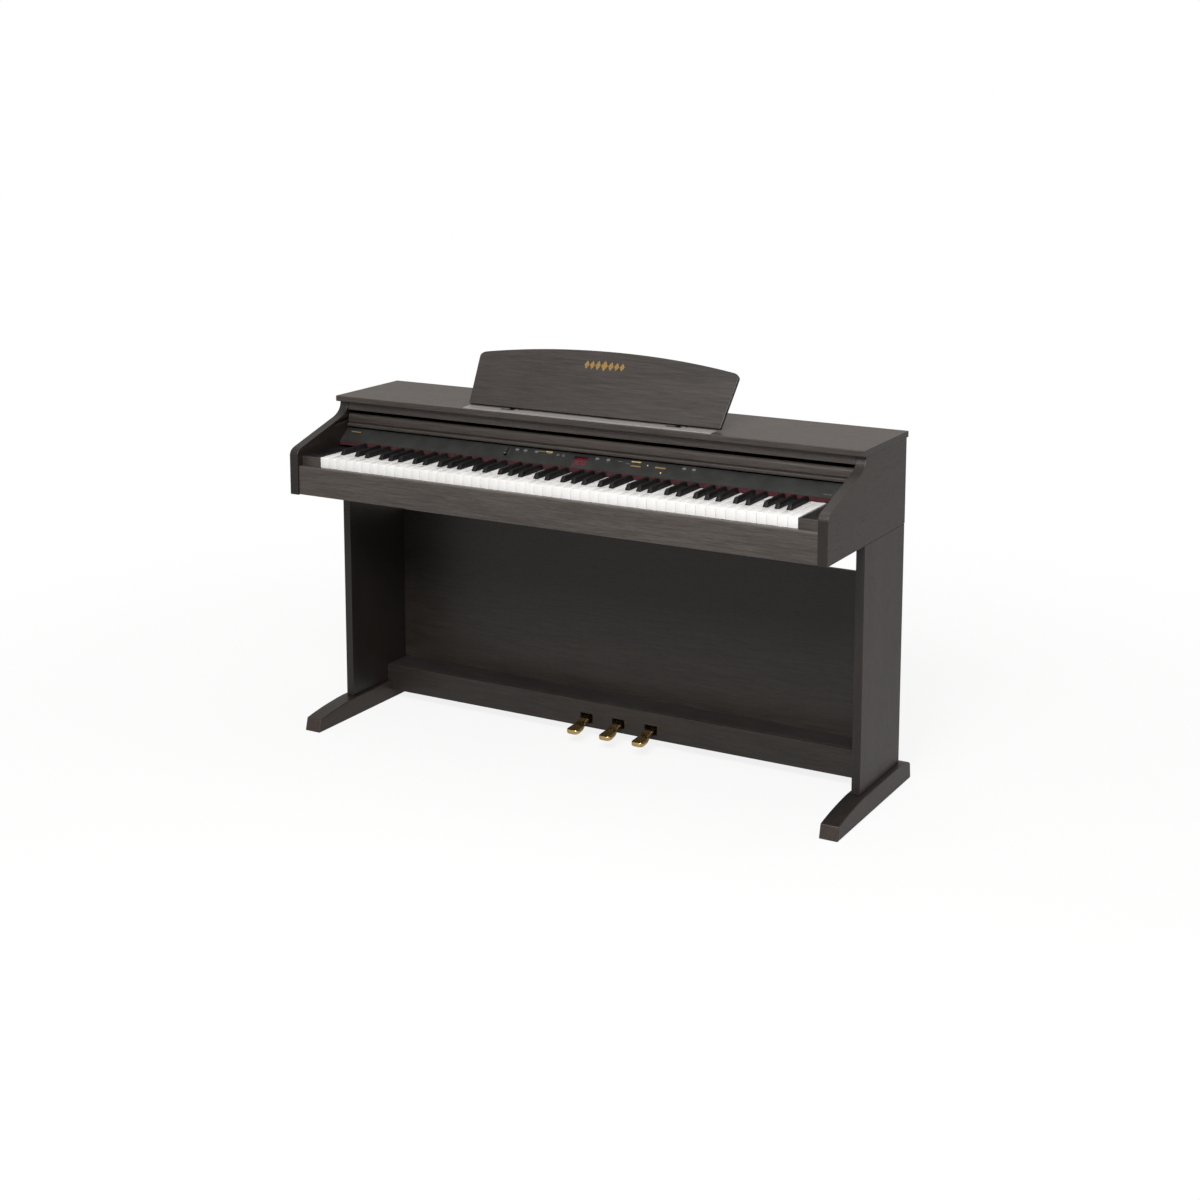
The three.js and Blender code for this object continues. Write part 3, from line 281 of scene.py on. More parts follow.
def make_veneer(name, along, dark=(0.021, 0.0165, 0.014, 1), light=(0.066, 0.054, 0.047, 1), edges_and_inner_shade=None,
                outer_face=None, upper=None, coat=0.12):
    """Ebony foil on board, its grain along one axis, with a thin clear coat, a little dust and lighter edges that
    are partly rubbed wear and partly a painted highlight.

    With an edge-and-shade colour, everything closer to the middle than the outer face is darker: a darker colour
    on the board edges and painted shade on the inner faces. With an upper colour, the faces that look up have that
    colour, a painted shade.
    """
    material, tree, shader, place = new_material(name, coat=coat, coat_roughness=0.35)
    parts = add_node(tree, "ShaderNodeSeparateXYZ", {0: place}).outputs
    order = {"x": (0, 1, 2), "y": (1, 0, 2), "z": (2, 0, 1)}[along]
    turned = {i: parts[axis] for i, axis in enumerate(order)}
    turned = add_node(tree, "ShaderNodeCombineXYZ", turned).outputs[0]
    grain = placed_group(tree, wood_grain, Along=turned, Dark=dark, Light=light)
    rubbed = placed_group(tree, edge_wear_and_highlight, Vector=place, Width=0.0012, Amount=0.5)["Mask"]
    dusty = placed_group(tree, settled_dust, Vector=place, Amount=0.3)["Mask"]
    surface = grain["Colour"]
    # Everything but the outer face darkens: painted shade on the inner faces, and a darker colour on the board
    # edges.
    if edges_and_inner_shade:
        inside = math_node(tree, "LESS_THAN", math_node(tree, "ABSOLUTE", parts["X"]), outer_face)
        surface = mixed_colour(tree, times(tree, inside, 0.8), surface, edges_and_inner_shade)
    # Painted shade: the faces that look up are darkened.
    if upper:
        normal = add_node(tree, "ShaderNodeNewGeometry").outputs["Normal"]
        upward = add_node(tree, "ShaderNodeSeparateXYZ", {0: normal}).outputs["Z"]
        looks_up = math_node(tree, "GREATER_THAN", upward, UPPER_FACE)
        surface = mixed_colour(tree, times(tree, looks_up, 0.85), surface, upper)
    # The edges turn lighter: partly rubbed wear, partly a painted highlight along the edges.
    worn = mixed_colour(tree, times(tree, rubbed, 0.6), surface, (0.13, 0.118, 0.11, 1))
    covered = mixed_colour(tree, times(tree, dusty, 0.1), worn, (0.3, 0.28, 0.26, 1))
    tree.links.new(covered, shader.inputs["Base Color"])
    gloss = plus(tree, grain["Roughness"], 0.34)
    tree.links.new(plus(tree, gloss, times(tree, dusty, 0.18)), shader.inputs["Roughness"])
    add_bump(tree, shader, grain["Height"], 0.0001, 0.35)
    return material


def make_plastic(name, base, roughness, pebble=1400.0, depth=0.00006, dust=0.15, wear=0.3, shine=0.5):
    material, tree, shader, place = new_material(name, Specular_IOR_Level=shine)
    skin = placed_group(tree, moulded_skin, Vector=place, Grain_Size=pebble, Base=base)
    rubbed = placed_group(tree, edge_wear_and_highlight, Vector=place, Width=0.0006, Amount=wear)["Mask"]
    dusty = placed_group(tree, settled_dust, Vector=place, Amount=dust)["Mask"]
    worn = mixed_colour(tree, times(tree, rubbed, 0.4), skin["Colour"], (0.35, 0.34, 0.33, 1))
    covered = mixed_colour(tree, times(tree, dusty, 0.15), worn, (0.4, 0.38, 0.36, 1))
    tree.links.new(covered, shader.inputs["Base Color"])
    handled = placed_group(tree, handling_marks, Vector=place)["Smears"]
    gloss = plus(tree, skin["Roughness"], roughness)
    tree.links.new(plus(tree, gloss, times(tree, handled, -0.04)), shader.inputs["Roughness"])
    add_bump(tree, shader, skin["Height"], depth, 0.5)
    return material


def make_key_plastic(name, base, tint, roughness, coat, shine=0.5):
    """Polished key plastic: faint cloudiness, smears, hair scratches and a little dirt on the edges."""
    material, tree, shader, place = new_material(
        name, coat=coat, coat_roughness=0.08, Specular_IOR_Level=shine
    )
    marks = placed_group(tree, handling_marks, Vector=place, Smear_Size=24.0, Scratch_Size=90.0)
    cloudy = ranged(tree, noise(tree, place, 9.0, 3.0), 0.3, 0.7)
    rubbed = placed_group(tree, edge_wear_and_highlight, Vector=place, Width=0.0007, Amount=0.5)["Mask"]
    colour = mixed_colour(tree, cloudy, base, tint)
    tree.links.new(mixed_colour(tree, times(tree, rubbed, 0.03), colour, (0.3, 0.28, 0.25, 1)),
                   shader.inputs["Base Color"])
    gloss = ranged(tree, marks["Smears"], 0.0, 1.0, roughness, roughness + 0.16)
    tree.links.new(gloss, shader.inputs["Roughness"])
    add_bump(tree, shader, marks["Scratches"], 0.00001, 0.3)
    return material


def make_metal(name, base, tarnish, roughness, brushed=0.0):
    """Metal with cloudy tarnish, smears and scratches, and brush lines where wanted."""
    material, tree, shader, place = new_material(name, metallic=1.0)
    marks = placed_group(tree, handling_marks, Vector=place, Smear_Size=60.0, Scratch_Size=220.0)
    clouds = ranged(tree, noise(tree, place, 90.0, 5.0, 0.65), 0.35, 0.75)
    rubbed = placed_group(tree, edge_wear_and_highlight, Vector=place, Width=0.0009, Amount=0.8)["Mask"]
    aged = mixed_colour(tree, times(tree, clouds, 0.7), base, tarnish)
    bright = tuple(min(1.0, part * 1.35) for part in base[:3]) + (1,)
    tree.links.new(mixed_colour(tree, rubbed, aged, bright), shader.inputs["Base Color"])
    smeared = ranged(tree, marks["Smears"], 0.0, 1.0, roughness, roughness + 0.14)
    tree.links.new(plus(tree, smeared, times(tree, clouds, 0.08)), shader.inputs["Roughness"])
    lines = noise(tree, scaled_vector(tree, place, (12.0, 900.0, 900.0)), 1.0, 2.0)
    height = plus(tree, times(tree, lines, brushed), marks["Scratches"])
    add_bump(tree, shader, height, 0.00002, 0.5)
    return material


def make_print(name, colour):
    """Screen-printed ink, a little uneven."""
    material, tree, shader, place = new_material(name, roughness=0.45)
    uneven = ranged(tree, noise(tree, place, 700.0, 3.0), 0.35, 0.65)
    faded = tuple(part * 0.6 for part in colour[:3]) + (1,)
    tree.links.new(mixed_colour(tree, uneven, faded, colour), shader.inputs["Base Color"])
    tree.links.new(ranged(tree, uneven, 0.0, 1.0, 0.55, 0.4), shader.inputs["Roughness"])
    return material


def make_felt(name):
    """Dark red key felt: matted fibres with lighter fuzz."""
    material, tree, shader, place = new_material(name, roughness=0.95, Sheen_Weight=0.15, Sheen_Roughness=0.4)
    fibres = noise(tree, scaled_vector(tree, place, (900.0, 1800.0, 1800.0)), 1.0, 4.0, 0.7, 1.5)
    mats = ranged(tree, noise(tree, place, 120.0, 4.0), 0.3, 0.7)
    deep = mixed_colour(tree, mats, (0.02, 0.0015, 0.003, 1), (0.055, 0.005, 0.009, 1))
    tree.links.new(mixed_colour(tree, ranged(tree, fibres, 0.5, 0.75), deep, (0.1, 0.013, 0.02, 1)),
                   shader.inputs["Base Color"])
    add_bump(tree, shader, fibres, 0.0004, 0.8)
    return material


def make_display(name):
    """Dark red window plastic with a polished face and faint smears."""
    material, tree, shader, place = new_material(name, coat=0.6, coat_roughness=0.05)
    marks = placed_group(tree, handling_marks, Vector=place, Smear_Size=120.0)
    depth = ranged(tree, noise(tree, place, 60.0, 2.0), 0.3, 0.7)
    tree.links.new(mixed_colour(tree, depth, (0.022, 0.002, 0.004, 1), (0.04, 0.003, 0.007, 1)),
                   shader.inputs["Base Color"])
    tree.links.new(ranged(tree, marks["Smears"], 0.0, 1.0, 0.06, 0.2), shader.inputs["Roughness"])
    return material


def make_glow(name, colour, strength):
    """Lit segments behind the red window, their glow a little uneven in fine patches."""
    material, tree, shader, place = new_material(name, roughness=0.3, Emission_Strength=strength)
    flicker = ranged(tree, noise(tree, place, 900.0, 1.0), 0.3, 0.7)
    dim = tuple(part * 0.55 for part in colour[:3]) + (1,)
    shade = mixed_colour(tree, flicker, dim, colour)
    tree.links.new(shade, shader.inputs["Emission Color"])
    tree.links.new(shade, shader.inputs["Base Color"])
    return material


def make_circuit_board(name):
    """Green lacquered board with copper tracks showing through."""
    material, tree, shader, place = new_material(name, roughness=0.35)
    bricks = add_node(tree, "ShaderNodeTexBrick", {"Vector": place, "Scale": 90.0, "Mortar Size": 0.03,
                      "Color1": (0.012, 0.075, 0.03, 1), "Color2": (0.016, 0.09, 0.036, 1),
                      "Mortar": (0.03, 0.16, 0.05, 1)})
    dusty = placed_group(tree, settled_dust, Vector=place, Amount=0.5)["Mask"]
    tree.links.new(mixed_colour(tree, times(tree, dusty, 0.3), bricks.outputs["Color"],
                                (0.2, 0.2, 0.17, 1)), shader.inputs["Base Color"])
    tree.links.new(ranged(tree, noise(tree, place, 50.0), 0.3, 0.7, 0.3, 0.5), shader.inputs["Roughness"])
    add_bump(tree, shader, bricks.outputs["Fac"], 0.00005, 0.5)
    return material


def make_speaker_paper(name):
    """Pressed paper cone, black and fibrous."""
    material, tree, shader, place = new_material(name, roughness=0.85)
    fibres = noise(tree, place, 500.0, 5.0, 0.7, 1.0)
    tree.links.new(mixed_colour(tree, ranged(tree, fibres, 0.35, 0.7), (0.008, 0.008, 0.008, 1),
                                (0.035, 0.034, 0.033, 1)), shader.inputs["Base Color"])
    tree.links.new(ranged(tree, fibres, 0.3, 0.7, 0.75, 0.95), shader.inputs["Roughness"])
    add_bump(tree, shader, fibres, 0.0003, 0.6)
    return material


EDGE_INSET = 0.5 * MM  # of the outer face's colour from the boards' outer faces
WARM_DARK = (0.0165, 0.0108, 0.0084, 1)
WARM_LIGHT = (0.064, 0.0455, 0.0365, 1)
veneer_across = make_veneer("ebony_veneer_across", "x")
# The key slip gets a lighter copy of the same ebony: painted light on its lit front.
veneer_slip_painted_light = make_veneer("ebony_veneer_slip", "x", (0.036, 0.029, 0.025, 1), (0.1, 0.084, 0.075, 1))
# Feet: their upper faces are darkened as painted shade.
veneer_foot_painted_shade = make_veneer("ebony_veneer_foot", "y", WARM_DARK, WARM_LIGHT, coat=0.06,
                          upper=(0.0035, 0.003, 0.0028, 1))
# Side panels: painted shade on the inner faces, a darker colour on the edges.
veneer_banded_inner_shade = make_veneer("ebony_veneer_banded", "y", WARM_DARK, WARM_LIGHT,
                            edges_and_inner_shade=(0.006, 0.005, 0.0045, 1),
                            outer_face=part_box("side_panel_right")[1].x - EDGE_INSET)
# Legs: painted shade on the inner faces, a darker colour on the edges.
veneer_leg_inner_shade = make_veneer("ebony_veneer_leg", "z", WARM_DARK, WARM_LIGHT, edges_and_inner_shade=(0.008, 0.0068, 0.006, 1),
                         outer_face=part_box("leg_right")[1].x - EDGE_INSET)
# The music desk gets a darker copy of the same ebony: painted shade.
veneer_desk_painted_shade = make_veneer("ebony_veneer_desk", "x", (0.015, 0.0122, 0.0105, 1), (0.05, 0.0415, 0.0365, 1))
# Back panel and pedal board get a darker copy of the same ebony: painted shade under the cabinet.
veneer_painted_shade = make_veneer("ebony_veneer_shaded", "x", (0.011, 0.0086, 0.0072, 1),
                            (0.034, 0.0275, 0.0238, 1))
# The pedal box top gets a near-black copy of the same ebony: painted shadow under the cabinet.
veneer_painted_shadow = make_veneer("ebony_veneer_inner", "x", (0.008, 0.0065, 0.006, 1), (0.024, 0.02, 0.018, 1))
key_white = make_key_plastic("white_key_plastic", (0.87, 0.865, 0.85, 1), (0.9, 0.895, 0.885, 1), 0.22, 0.3)
key_black = make_key_plastic("black_key_plastic", (0.003, 0.003, 0.003, 1), (0.006, 0.0055, 0.0055, 1),
                             0.42, 0.0, 0.25)
panel_plastic = make_plastic("panel_plastic", (0.0125, 0.0135, 0.013, 1), 0.5, dust=0.05, shine=0.35)
black_plastic = make_plastic("black_moulding", (0.004, 0.004, 0.004, 1), 0.35, 1800.0, dust=0.05, shine=0.25)
button_plastic = make_plastic("button_plastic", (0.13, 0.13, 0.135, 1), 0.42, 2400.0, 0.00003)
knob_plastic = make_plastic("slider_knob_plastic", (0.006, 0.006, 0.006, 1), 0.38, 2000.0, 0.00004, 0.05,
                            shine=0.3)
# The music ledge: a satin strip whose light grey colour is partly its own and partly a painted highlight of its
# lit top.
ledge_satin_and_painted_highlight = make_plastic("ledge_satin_strip_painted_highlight", (0.27, 0.258, 0.25, 1), 0.34, 2600.0, 0.000005, 0.0, 0.0)
brass = make_metal("pedal_brass", (0.83, 0.6, 0.24, 1), (0.5, 0.33, 0.12, 1), 0.12)
steel = make_metal("plated_steel", (0.2, 0.2, 0.21, 1), (0.09, 0.088, 0.085, 1), 0.3, 0.6)
bright_steel = make_metal("screw_steel", (0.5, 0.5, 0.49, 1), (0.25, 0.24, 0.22, 1), 0.22, 0.3)
gold_ink = make_print("gold_ink", (0.3, 0.18, 0.045, 1))
pale_gold_ink = make_print("pale_gold_ink", (0.62, 0.47, 0.24, 1))
grey_ink = make_print("grey_ink", (0.1, 0.1, 0.1, 1))
white_ink = make_print("white_ink", (0.4, 0.38, 0.38, 1))
red_felt = make_felt("key_felt")
display_red = make_display("display_window_plastic")
segment_lit = make_glow("lit_segments", (0.22, 0.003, 0.014, 1), 0.22)
segment_unlit = make_print("unlit_segments", (0.03, 0.002, 0.005, 1))
lamp_glow = make_glow("lamp_lens", (1.0, 0.72, 0.45, 1), 0.35)
circuit_green = make_circuit_board("circuit_board_lacquer")
speaker_black = make_speaker_paper("speaker_paper")


# ---------- carried-over CAD boards and fittings ----------
def soften_edges(node, radius, segments=2):
    """Welds the facets into whole faces, then rounds the sharp edges."""
    board = nodes[node]
    weld = board.modifiers.new("weld", "WELD")
    weld.merge_threshold = 0.00001
    merge = board.modifiers.new("whole_faces", "DECIMATE")
    merge.decimate_type = "DISSOLVE"
    merge.angle_limit = math.radians(0.3)
    bevel = board.modifiers.new("rounded_edges", "BEVEL")
    bevel.width = radius
    bevel.segments = segments
    bevel.limit_method = "ANGLE"
    bevel.angle_limit = math.radians(32)
    bevel.use_clamp_overlap = True
    shade = board.modifiers.new("even_shading", "WEIGHTED_NORMAL")
    shade.keep_sharp = True
    shade.weight = 100


def give_finish(node, material, radius=0.0, segments=2):
    mesh = nodes[node].data
    mesh.materials.clear()
    mesh.materials.append(material)
    if radius:
        soften_edges(node, radius, segments)


# finish, edge radius in millimetres and the nodes that have them
KEPT_NODES = [
    (veneer_banded_inner_shade, 1.2, ["side_panel_left", "side_panel_right"]),
    (veneer_across, 1.0, ["top_board", "front_fascia"]),
    (veneer_slip_painted_light, 1.0, ["key_slip"]),
    (veneer_across, 0.6, ["rear_board"]),
    (veneer_across, 0.8, ["key_bed", "key_cover", "key_cover_rail"]),
    (veneer_desk_painted_shade, 1.8, ["music_desk"]),
    (veneer_leg_inner_shade, 1.2, ["leg_left", "leg_right"]),
    (veneer_foot_painted_shade, 1.8, ["foot_left", "foot_right"]),
    # a darker copy of the ebony, painted shade
    (veneer_painted_shade, 0.6, ["stand_back_panel"]),
    (veneer_painted_shade, 0.8, ["pedal_board"]),
    # a near-black copy of the ebony, painted shadow
    (veneer_painted_shadow, 0.8, ["pedal_box_top"]),
    (black_plastic, 0.4, ["jack_panel"]),
    (black_plastic, 0.6, ["key_pivot_rail"]),
    (panel_plastic, 0.3, ["control_panel"]),
    (circuit_green, 0.0, ["control_board"]),
    (red_felt, 0.5, ["felt_strip"]),
    (display_red, 0.25, ["display_window"]),
    (steel, 0.25, ["desk_hinge_base_left", "desk_hinge_base_right", "desk_hinge_leaf_left",
                   "desk_hinge_leaf_right"]),
    (steel, 0.2, ["stay_bracket"]),
    (steel, 0.3, ["desk_stay"]),
    (steel, 0.4, ["pedal_bracket"]),
    (ledge_satin_and_painted_highlight, 0.6, ["music_ledge"]),
    (speaker_black, 0.0, ["speaker_left", "speaker_right"]),
]
for finish, edge, kept in KEPT_NODES:
    for node in kept:
        give_finish(node, finish, edge * MM)


# ---------- mesh building ----------
def round_edges(bm, radius, segments=3, sharper_than=30.0, edges=None):
    bm.normal_update()
    limit = math.radians(sharper_than)
    sharp = [e for e in (edges or bm.edges) if len(e.link_faces) == 2 and e.calc_face_angle(0.0) > limit]
    bmesh.ops.bevel(
        bm, geom=sharp, offset=radius, offset_type="OFFSET", segments=segments, profile=0.5, affect="EDGES",
        clamp_overlap=True,
    )


def loft(bm, rings, material=0):
    """Closed skin over rings of equal length, capped at both ends."""
    made = [[bm.verts.new(point) for point in ring] for ring in rings]
    faces = []
    for lower, upper in zip(made, made[1:]):
        for i in range(len(lower)):
            j = (i + 1) % len(lower)
            faces.append(bm.faces.new((lower[i], lower[j], upper[j], upper[i])))
    faces.append(bm.faces.new(list(reversed(made[0]))))
    faces.append(bm.faces.new(made[-1]))
    for face in faces:
        face.material_index = material
    return faces


def block(bm, place, a0, a1, b0, b1, c0, c1, material=0):
    """A block in the frame that place(a, b, c) sets."""
    rings = [[place(a0, b0, c), place(a1, b0, c), place(a1, b1, c), place(a0, b1, c)] for c in (c0, c1)]
    return loft(bm, rings, material)


def in_row(x, y, z):
    return Vector((x, y, z))


def finished(name, bm, body, materials, stands_for=(), smooth_below=40.0):
    """Turns the mesh into a piece that rides on its body."""
    bmesh.ops.recalc_face_normals(bm, faces=bm.faces)
    mesh = bpy.data.meshes.new(name)
    bm.to_mesh(mesh)
    bm.free()
    mesh.shade_smooth()
    mesh.set_sharp_from_angle(angle=math.radians(smooth_below))
    for material in materials:
        mesh.materials.append(material)
    piece = bpy.data.objects.new(name, mesh)
    scene.collection.objects.link(piece)
    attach(piece, body)
    if stands_for:
        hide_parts(*stands_for)
    return piece


# ---------- keys ----------
white_low, white_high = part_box("white_key_bank")
single_low, single_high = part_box("white_key_c4")
black_low, black_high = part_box("black_key_c_sharp4")
WHITE_KEYS = 52
WHITE_GAP = 1.0 * MM
SEAM = 0.6 * MM
pitch = (white_high.x - white_low.x + WHITE_GAP) / WHITE_KEYS
keyboard_left = white_low.x - WHITE_GAP / 2
key_top = white_high.z
apron_bottom = white_low.z
APRON_THICKNESS = 4 * MM
key_underside = key_top - 12 * MM
black_tail_bottom, black_tail_top = key_top - 4.2 * MM, key_top - 0.5 * MM
black_front = black_low.y
shoulder = black_front - 1.5 * MM
black_top = black_high.z
black_width = black_high.x - black_low.x
BLACK_CLEARANCE = 1.3 * MM
TAIL_OVERLAP = 1 * MM  # of the keys' tails into the bar of their bank, and under a black key's top
bar_front = single_high.y + 1.5 * MM
bar_rear = white_high.y
tail_top = key_top - 6 * MM
full_height_rear = single_high.y - 29.5 * MM
black_rear = white_low.y + 142 * MM

NAMES = "cdefgab"
LOWEST_NAME = 5
BLACK_SHIFT = {"c": -2.6, "d": 2.6, "f": -3.6, "g": 0.0, "a": 3.6}  # in millimetres at the standard pitch
STANDARD_PITCH = 23.5 * MM
OCTAVE_START, OCTAVE_END = 23, 29


def white_spans():
    """Index, name, left and right edge of every white key."""
    spans = []
    for index in range(WHITE_KEYS):
        left = keyboard_left + index * pitch + (WHITE_GAP if index == 0 else SEAM) / 2
        right = keyboard_left + (index + 1) * pitch - (WHITE_GAP if index == WHITE_KEYS - 1 else SEAM) / 2
        spans.append((index, NAMES[(index + LOWEST_NAME) % 7], left, right))
    return spans


def black_centres():
    """Centre of every black key, by the index of the white key on its left."""
    centres = {}
    for index, name, left, right in white_spans():
        if name in BLACK_SHIFT and index < WHITE_KEYS - 1:
            centres[index] = right + SEAM / 2 + BLACK_SHIFT[name] * MM * pitch / STANDARD_PITCH
    return centres


blacks = black_centres()


def shape_white_key(bm, index, left, right, rear_end):
    """Front with its apron, a shoulder beside each black key and the narrow rear."""
    room = black_width / 2 + BLACK_CLEARANCE
    rear_left = max(left, blacks[index - 1] + room) if index - 1 in blacks else left
    rear_right = min(right, blacks[index] - room) if index in blacks else right
    front = white_low.y
    behind_apron = front + APRON_THICKNESS

    def side(x, x_rear):
        outline = [(x, front, key_top), (x, shoulder, key_top), (x, shoulder, key_underside),
                   (x, behind_apron, key_underside), (x, behind_apron, apron_bottom),
                   (x, front, apron_bottom)]
        rear = [(x_rear, shoulder, key_top), (x_rear, full_height_rear, key_top),
                (x_rear, full_height_rear, tail_top), (x_rear, rear_end, tail_top),
                (x_rear, rear_end, key_underside), (x_rear, shoulder, key_underside)]
        return [bm.verts.new(p) for p in outline], [bm.verts.new(p) for p in rear]

    (l_front, l_rear), (r_front, r_rear) = side(left, rear_left), side(right, rear_right)
    faces = [
        list(reversed(l_front)), r_front, list(reversed(l_rear)), r_rear,
        [l_front[0], l_front[5], r_front[5], r_front[0]],
        [l_front[5], l_front[4], r_front[4], r_front[5]],
        [l_front[4], l_front[3], r_front[3], r_front[4]],
        [l_front[0], r_front[0], r_front[1], r_rear[0], r_rear[1], l_rear[1], l_rear[0], l_front[1]],
        [l_front[3], l_front[2], l_rear[5], l_rear[4], r_rear[4], r_rear[5], r_front[2], r_front[3]],
        [l_front[1], l_rear[0], l_rear[5], l_front[2]],
        [r_front[1], r_front[2], r_rear[5], r_rear[0]],
        [l_rear[1], r_rear[1], r_rear[2], l_rear[2]],
        [l_rear[2], r_rear[2], r_rear[3], l_rear[3]],
        [l_rear[3], r_rear[3], r_rear[4], l_rear[4]],
    ]
    for corners in faces:
        bm.faces.new(corners)


def shape_black_key(bm, centre):
    """Tapered top with a sloping nose; gives back the edges of its top, to be rounded."""
    base, top = black_width / 2, black_width / 2 - 0.9 * MM
    nose = 8.5 * MM
    rings = []
    for z, half, forward in (
        (key_top - 9.5 * MM, base, 0.0),
        (key_top + 1.5 * MM, base, 0.2 * MM),
        (black_top - 2.2 * MM, top + 0.25 * MM, nose - 3.1 * MM),
        (black_top, top - 0.4 * MM, nose),
    ):
        left, right, y = centre - half, centre + half, black_front + forward
        rings.append([(left, y, z), (right, y, z), (right, black_rear, z), (left, black_rear, z)])
    loft(bm, rings)
    return [e for e in bm.edges if all(v.co.z > key_top - 5 * MM for v in e.verts)]


def build_white_keys(name, body, wanted, rear_end, with_bar=False):
    bm = bmesh.new()
    for index, _, left, right in white_spans():
        if wanted(index):
            shape_white_key(bm, index, left, right, rear_end)
    bmesh.ops.remove_doubles(bm, verts=bm.verts, dist=0.00001)
    bmesh.ops.dissolve_degenerate(bm, edges=bm.edges, dist=0.00001)
    bmesh.ops.recalc_face_normals(bm, faces=bm.faces)
    round_edges(bm, 0.45 * MM, 3)
    if with_bar:
        block(bm, in_row, white_low.x, white_high.x, bar_front, bar_rear, key_underside, tail_top)
    return finished(name, bm, body, [key_white], [body])


def build_black_keys(name, body, centres, rear_end, with_bar=False):
    whole = bmesh.new()
    for centre in centres:
        bm = bmesh.new()
        edges = shape_black_key(bm, centre)
        bmesh.ops.recalc_face_normals(bm, faces=bm.faces)
        round_edges(bm, 1.3 * MM, 4, 12.0, edges)
        block(bm, in_row, centre - black_width / 2, centre + black_width / 2, black_rear - TAIL_OVERLAP,
              rear_end, black_tail_bottom, black_tail_top)
        part = bpy.data.meshes.new("part")
        bm.to_mesh(part)
        bm.free()
        whole.from_mesh(part)
        bpy.data.meshes.remove(part)
    if with_bar:
        low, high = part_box("black_key_bank")
        block(whole, in_row, low.x, high.x, bar_front, bar_rear, black_tail_bottom, black_tail_top)
    return finished(name, whole, body, [key_black], [body], 50.0)


def in_octave(index):
    return OCTAVE_START <= index <= OCTAVE_END


bank_tail_end = bar_front + TAIL_OVERLAP
outer_blacks = [centre for index, centre in blacks.items() if not in_octave(index)]
build_white_keys("white_keys_outer", "white_key_bank", lambda i: not in_octave(i), bank_tail_end, True)
build_black_keys("black_keys_outer", "black_key_bank", outer_blacks, bank_tail_end, True)
for index, letter, _, _ in white_spans():
    if in_octave(index):
        body = f"white_key_{letter}4"
        build_white_keys(f"{body}_shaped", body, lambda i, n=index: i == n, single_high.y)
        if index in blacks:
            body = f"black_key_{letter}_sharp4"
            build_black_keys(f"{body}_shaped", body, [blacks[index]], single_high.y)


# ---------- key blocks: veneered front, recessed black top ----------
FRONT_DEPTH = 4.5 * MM
FRONT_JOINT = 0.2 * MM
TOP_RECESS = 0.8 * MM
for side in ("left", "right"):
    low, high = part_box(f"key_block_{side}")
    front_rear = low.y + FRONT_DEPTH
    bm = bmesh.new()
    block(bm, in_row, low.x, high.x, low.y, front_rear, low.z, high.z, 0)
    block(bm, in_row, low.x, high.x, front_rear + FRONT_JOINT, high.y, low.z, high.z - TOP_RECESS, 1)
    round_edges(bm, 0.7 * MM, 2)
    finished(f"key_block_{side}_shaped", bm, "cabinet", [veneer_across, black_plastic],
             [f"key_block_{side}"])


# ---------- controls on the slope ----------
slope_up = Vector(joints["volume_slide"]["axis"]).normalized()
slope_out = -Vector(joints["power_button_press"]["axis"]).normalized()


def slope_extent(node, keep=lambda out: True):
    """Lowest and highest (x, up, out) of a node's corners, measured along the slope."""
    points = [(v.co.x, v.co.dot(slope_up), v.co.dot(slope_out)) for v in nodes[node].data.vertices]
    top = max(p[2] for p in points)
    kept = [p for p in points if keep(top - p[2])]
    return [min(p[i] for p in kept) for i in range(3)], [max(p[i] for p in kept) for i in range(3)]


BUTTON_STAND = 1.5 * MM
button_low, button_high = slope_extent("power_button")
slope_face = button_high[2] - BUTTON_STAND
panel_low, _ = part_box("control_panel")
SLOPE_FOOT_HEIGHT = 12 * MM  # above the white keys' tops
slope_foot = Vector((0.0, panel_low.y, key_top + SLOPE_FOOT_HEIGHT)).dot(slope_up)


def on_slope(x, up, out):
    """A point given along the keyboard, up the slope from its foot and out of its face."""
    return Vector((x, 0.0, 0.0)) + slope_up * (slope_foot + up) + slope_out * (slope_face + out)


def rounded_outline(half_x, half_y, corner, steps=5):
    points = []
    for quarter, (sx, sy) in enumerate(((1, 1), (-1, 1), (-1, -1), (1, -1))):
        for step in range(steps + 1):
            angle = math.radians(90 * quarter + 90 * step / steps)
            points.append((sx * (half_x - corner) + corner * math.cos(angle),
                           sy * (half_y - corner) + corner * math.sin(angle)))
    return points


def build_button(node):
    """Rounded cap with a dished crown on a flange, and a printed line on top."""
    low, high = slope_extent(node, lambda below: below < 1 * MM)
    bottom = slope_extent(node)[0][2] - slope_face
    x, up = (low[0] + high[0]) / 2, (low[1] + high[1]) / 2 - slope_foot
    half_x, half_up = (high[0] - low[0]) / 2, (high[1] - low[1]) / 2
    bm = bmesh.new()
    rings = []
    for out, inset in ((bottom, 0.0), (0.6 * MM, 0.0), (1.15 * MM, 0.12 * MM), (1.42 * MM, 0.4 * MM),
                       (1.5 * MM, 0.8 * MM), (1.38 * MM, 1.4 * MM)):
        outline = rounded_outline(half_x - inset, half_up - inset, 0.9 * MM)
        rings.append([on_slope(x + a, up + b, out) for a, b in outline])
    loft(bm, rings)
    (left, foot, _), (right, head, _) = slope_extent(node)
    block(bm, on_slope, left, right, foot - slope_foot, head - slope_foot, bottom, -3 * MM)
    line_half_x, line_half_up = half_x * 0.45, 0.25 * MM
    block(bm, on_slope, x - line_half_x, x + line_half_x, up - line_half_up, up + line_half_up,
          1.3 * MM, 1.43 * MM, 1)
    finished(f"{node}_shaped", bm, node, [button_plastic, white_ink], [node])


for use in ("power", "voice", "rhythm", "tempo_down", "tempo_up", "record", "play"):
    build_button(f"{use}_button")

INK_THICKNESS = 0.05 * MM

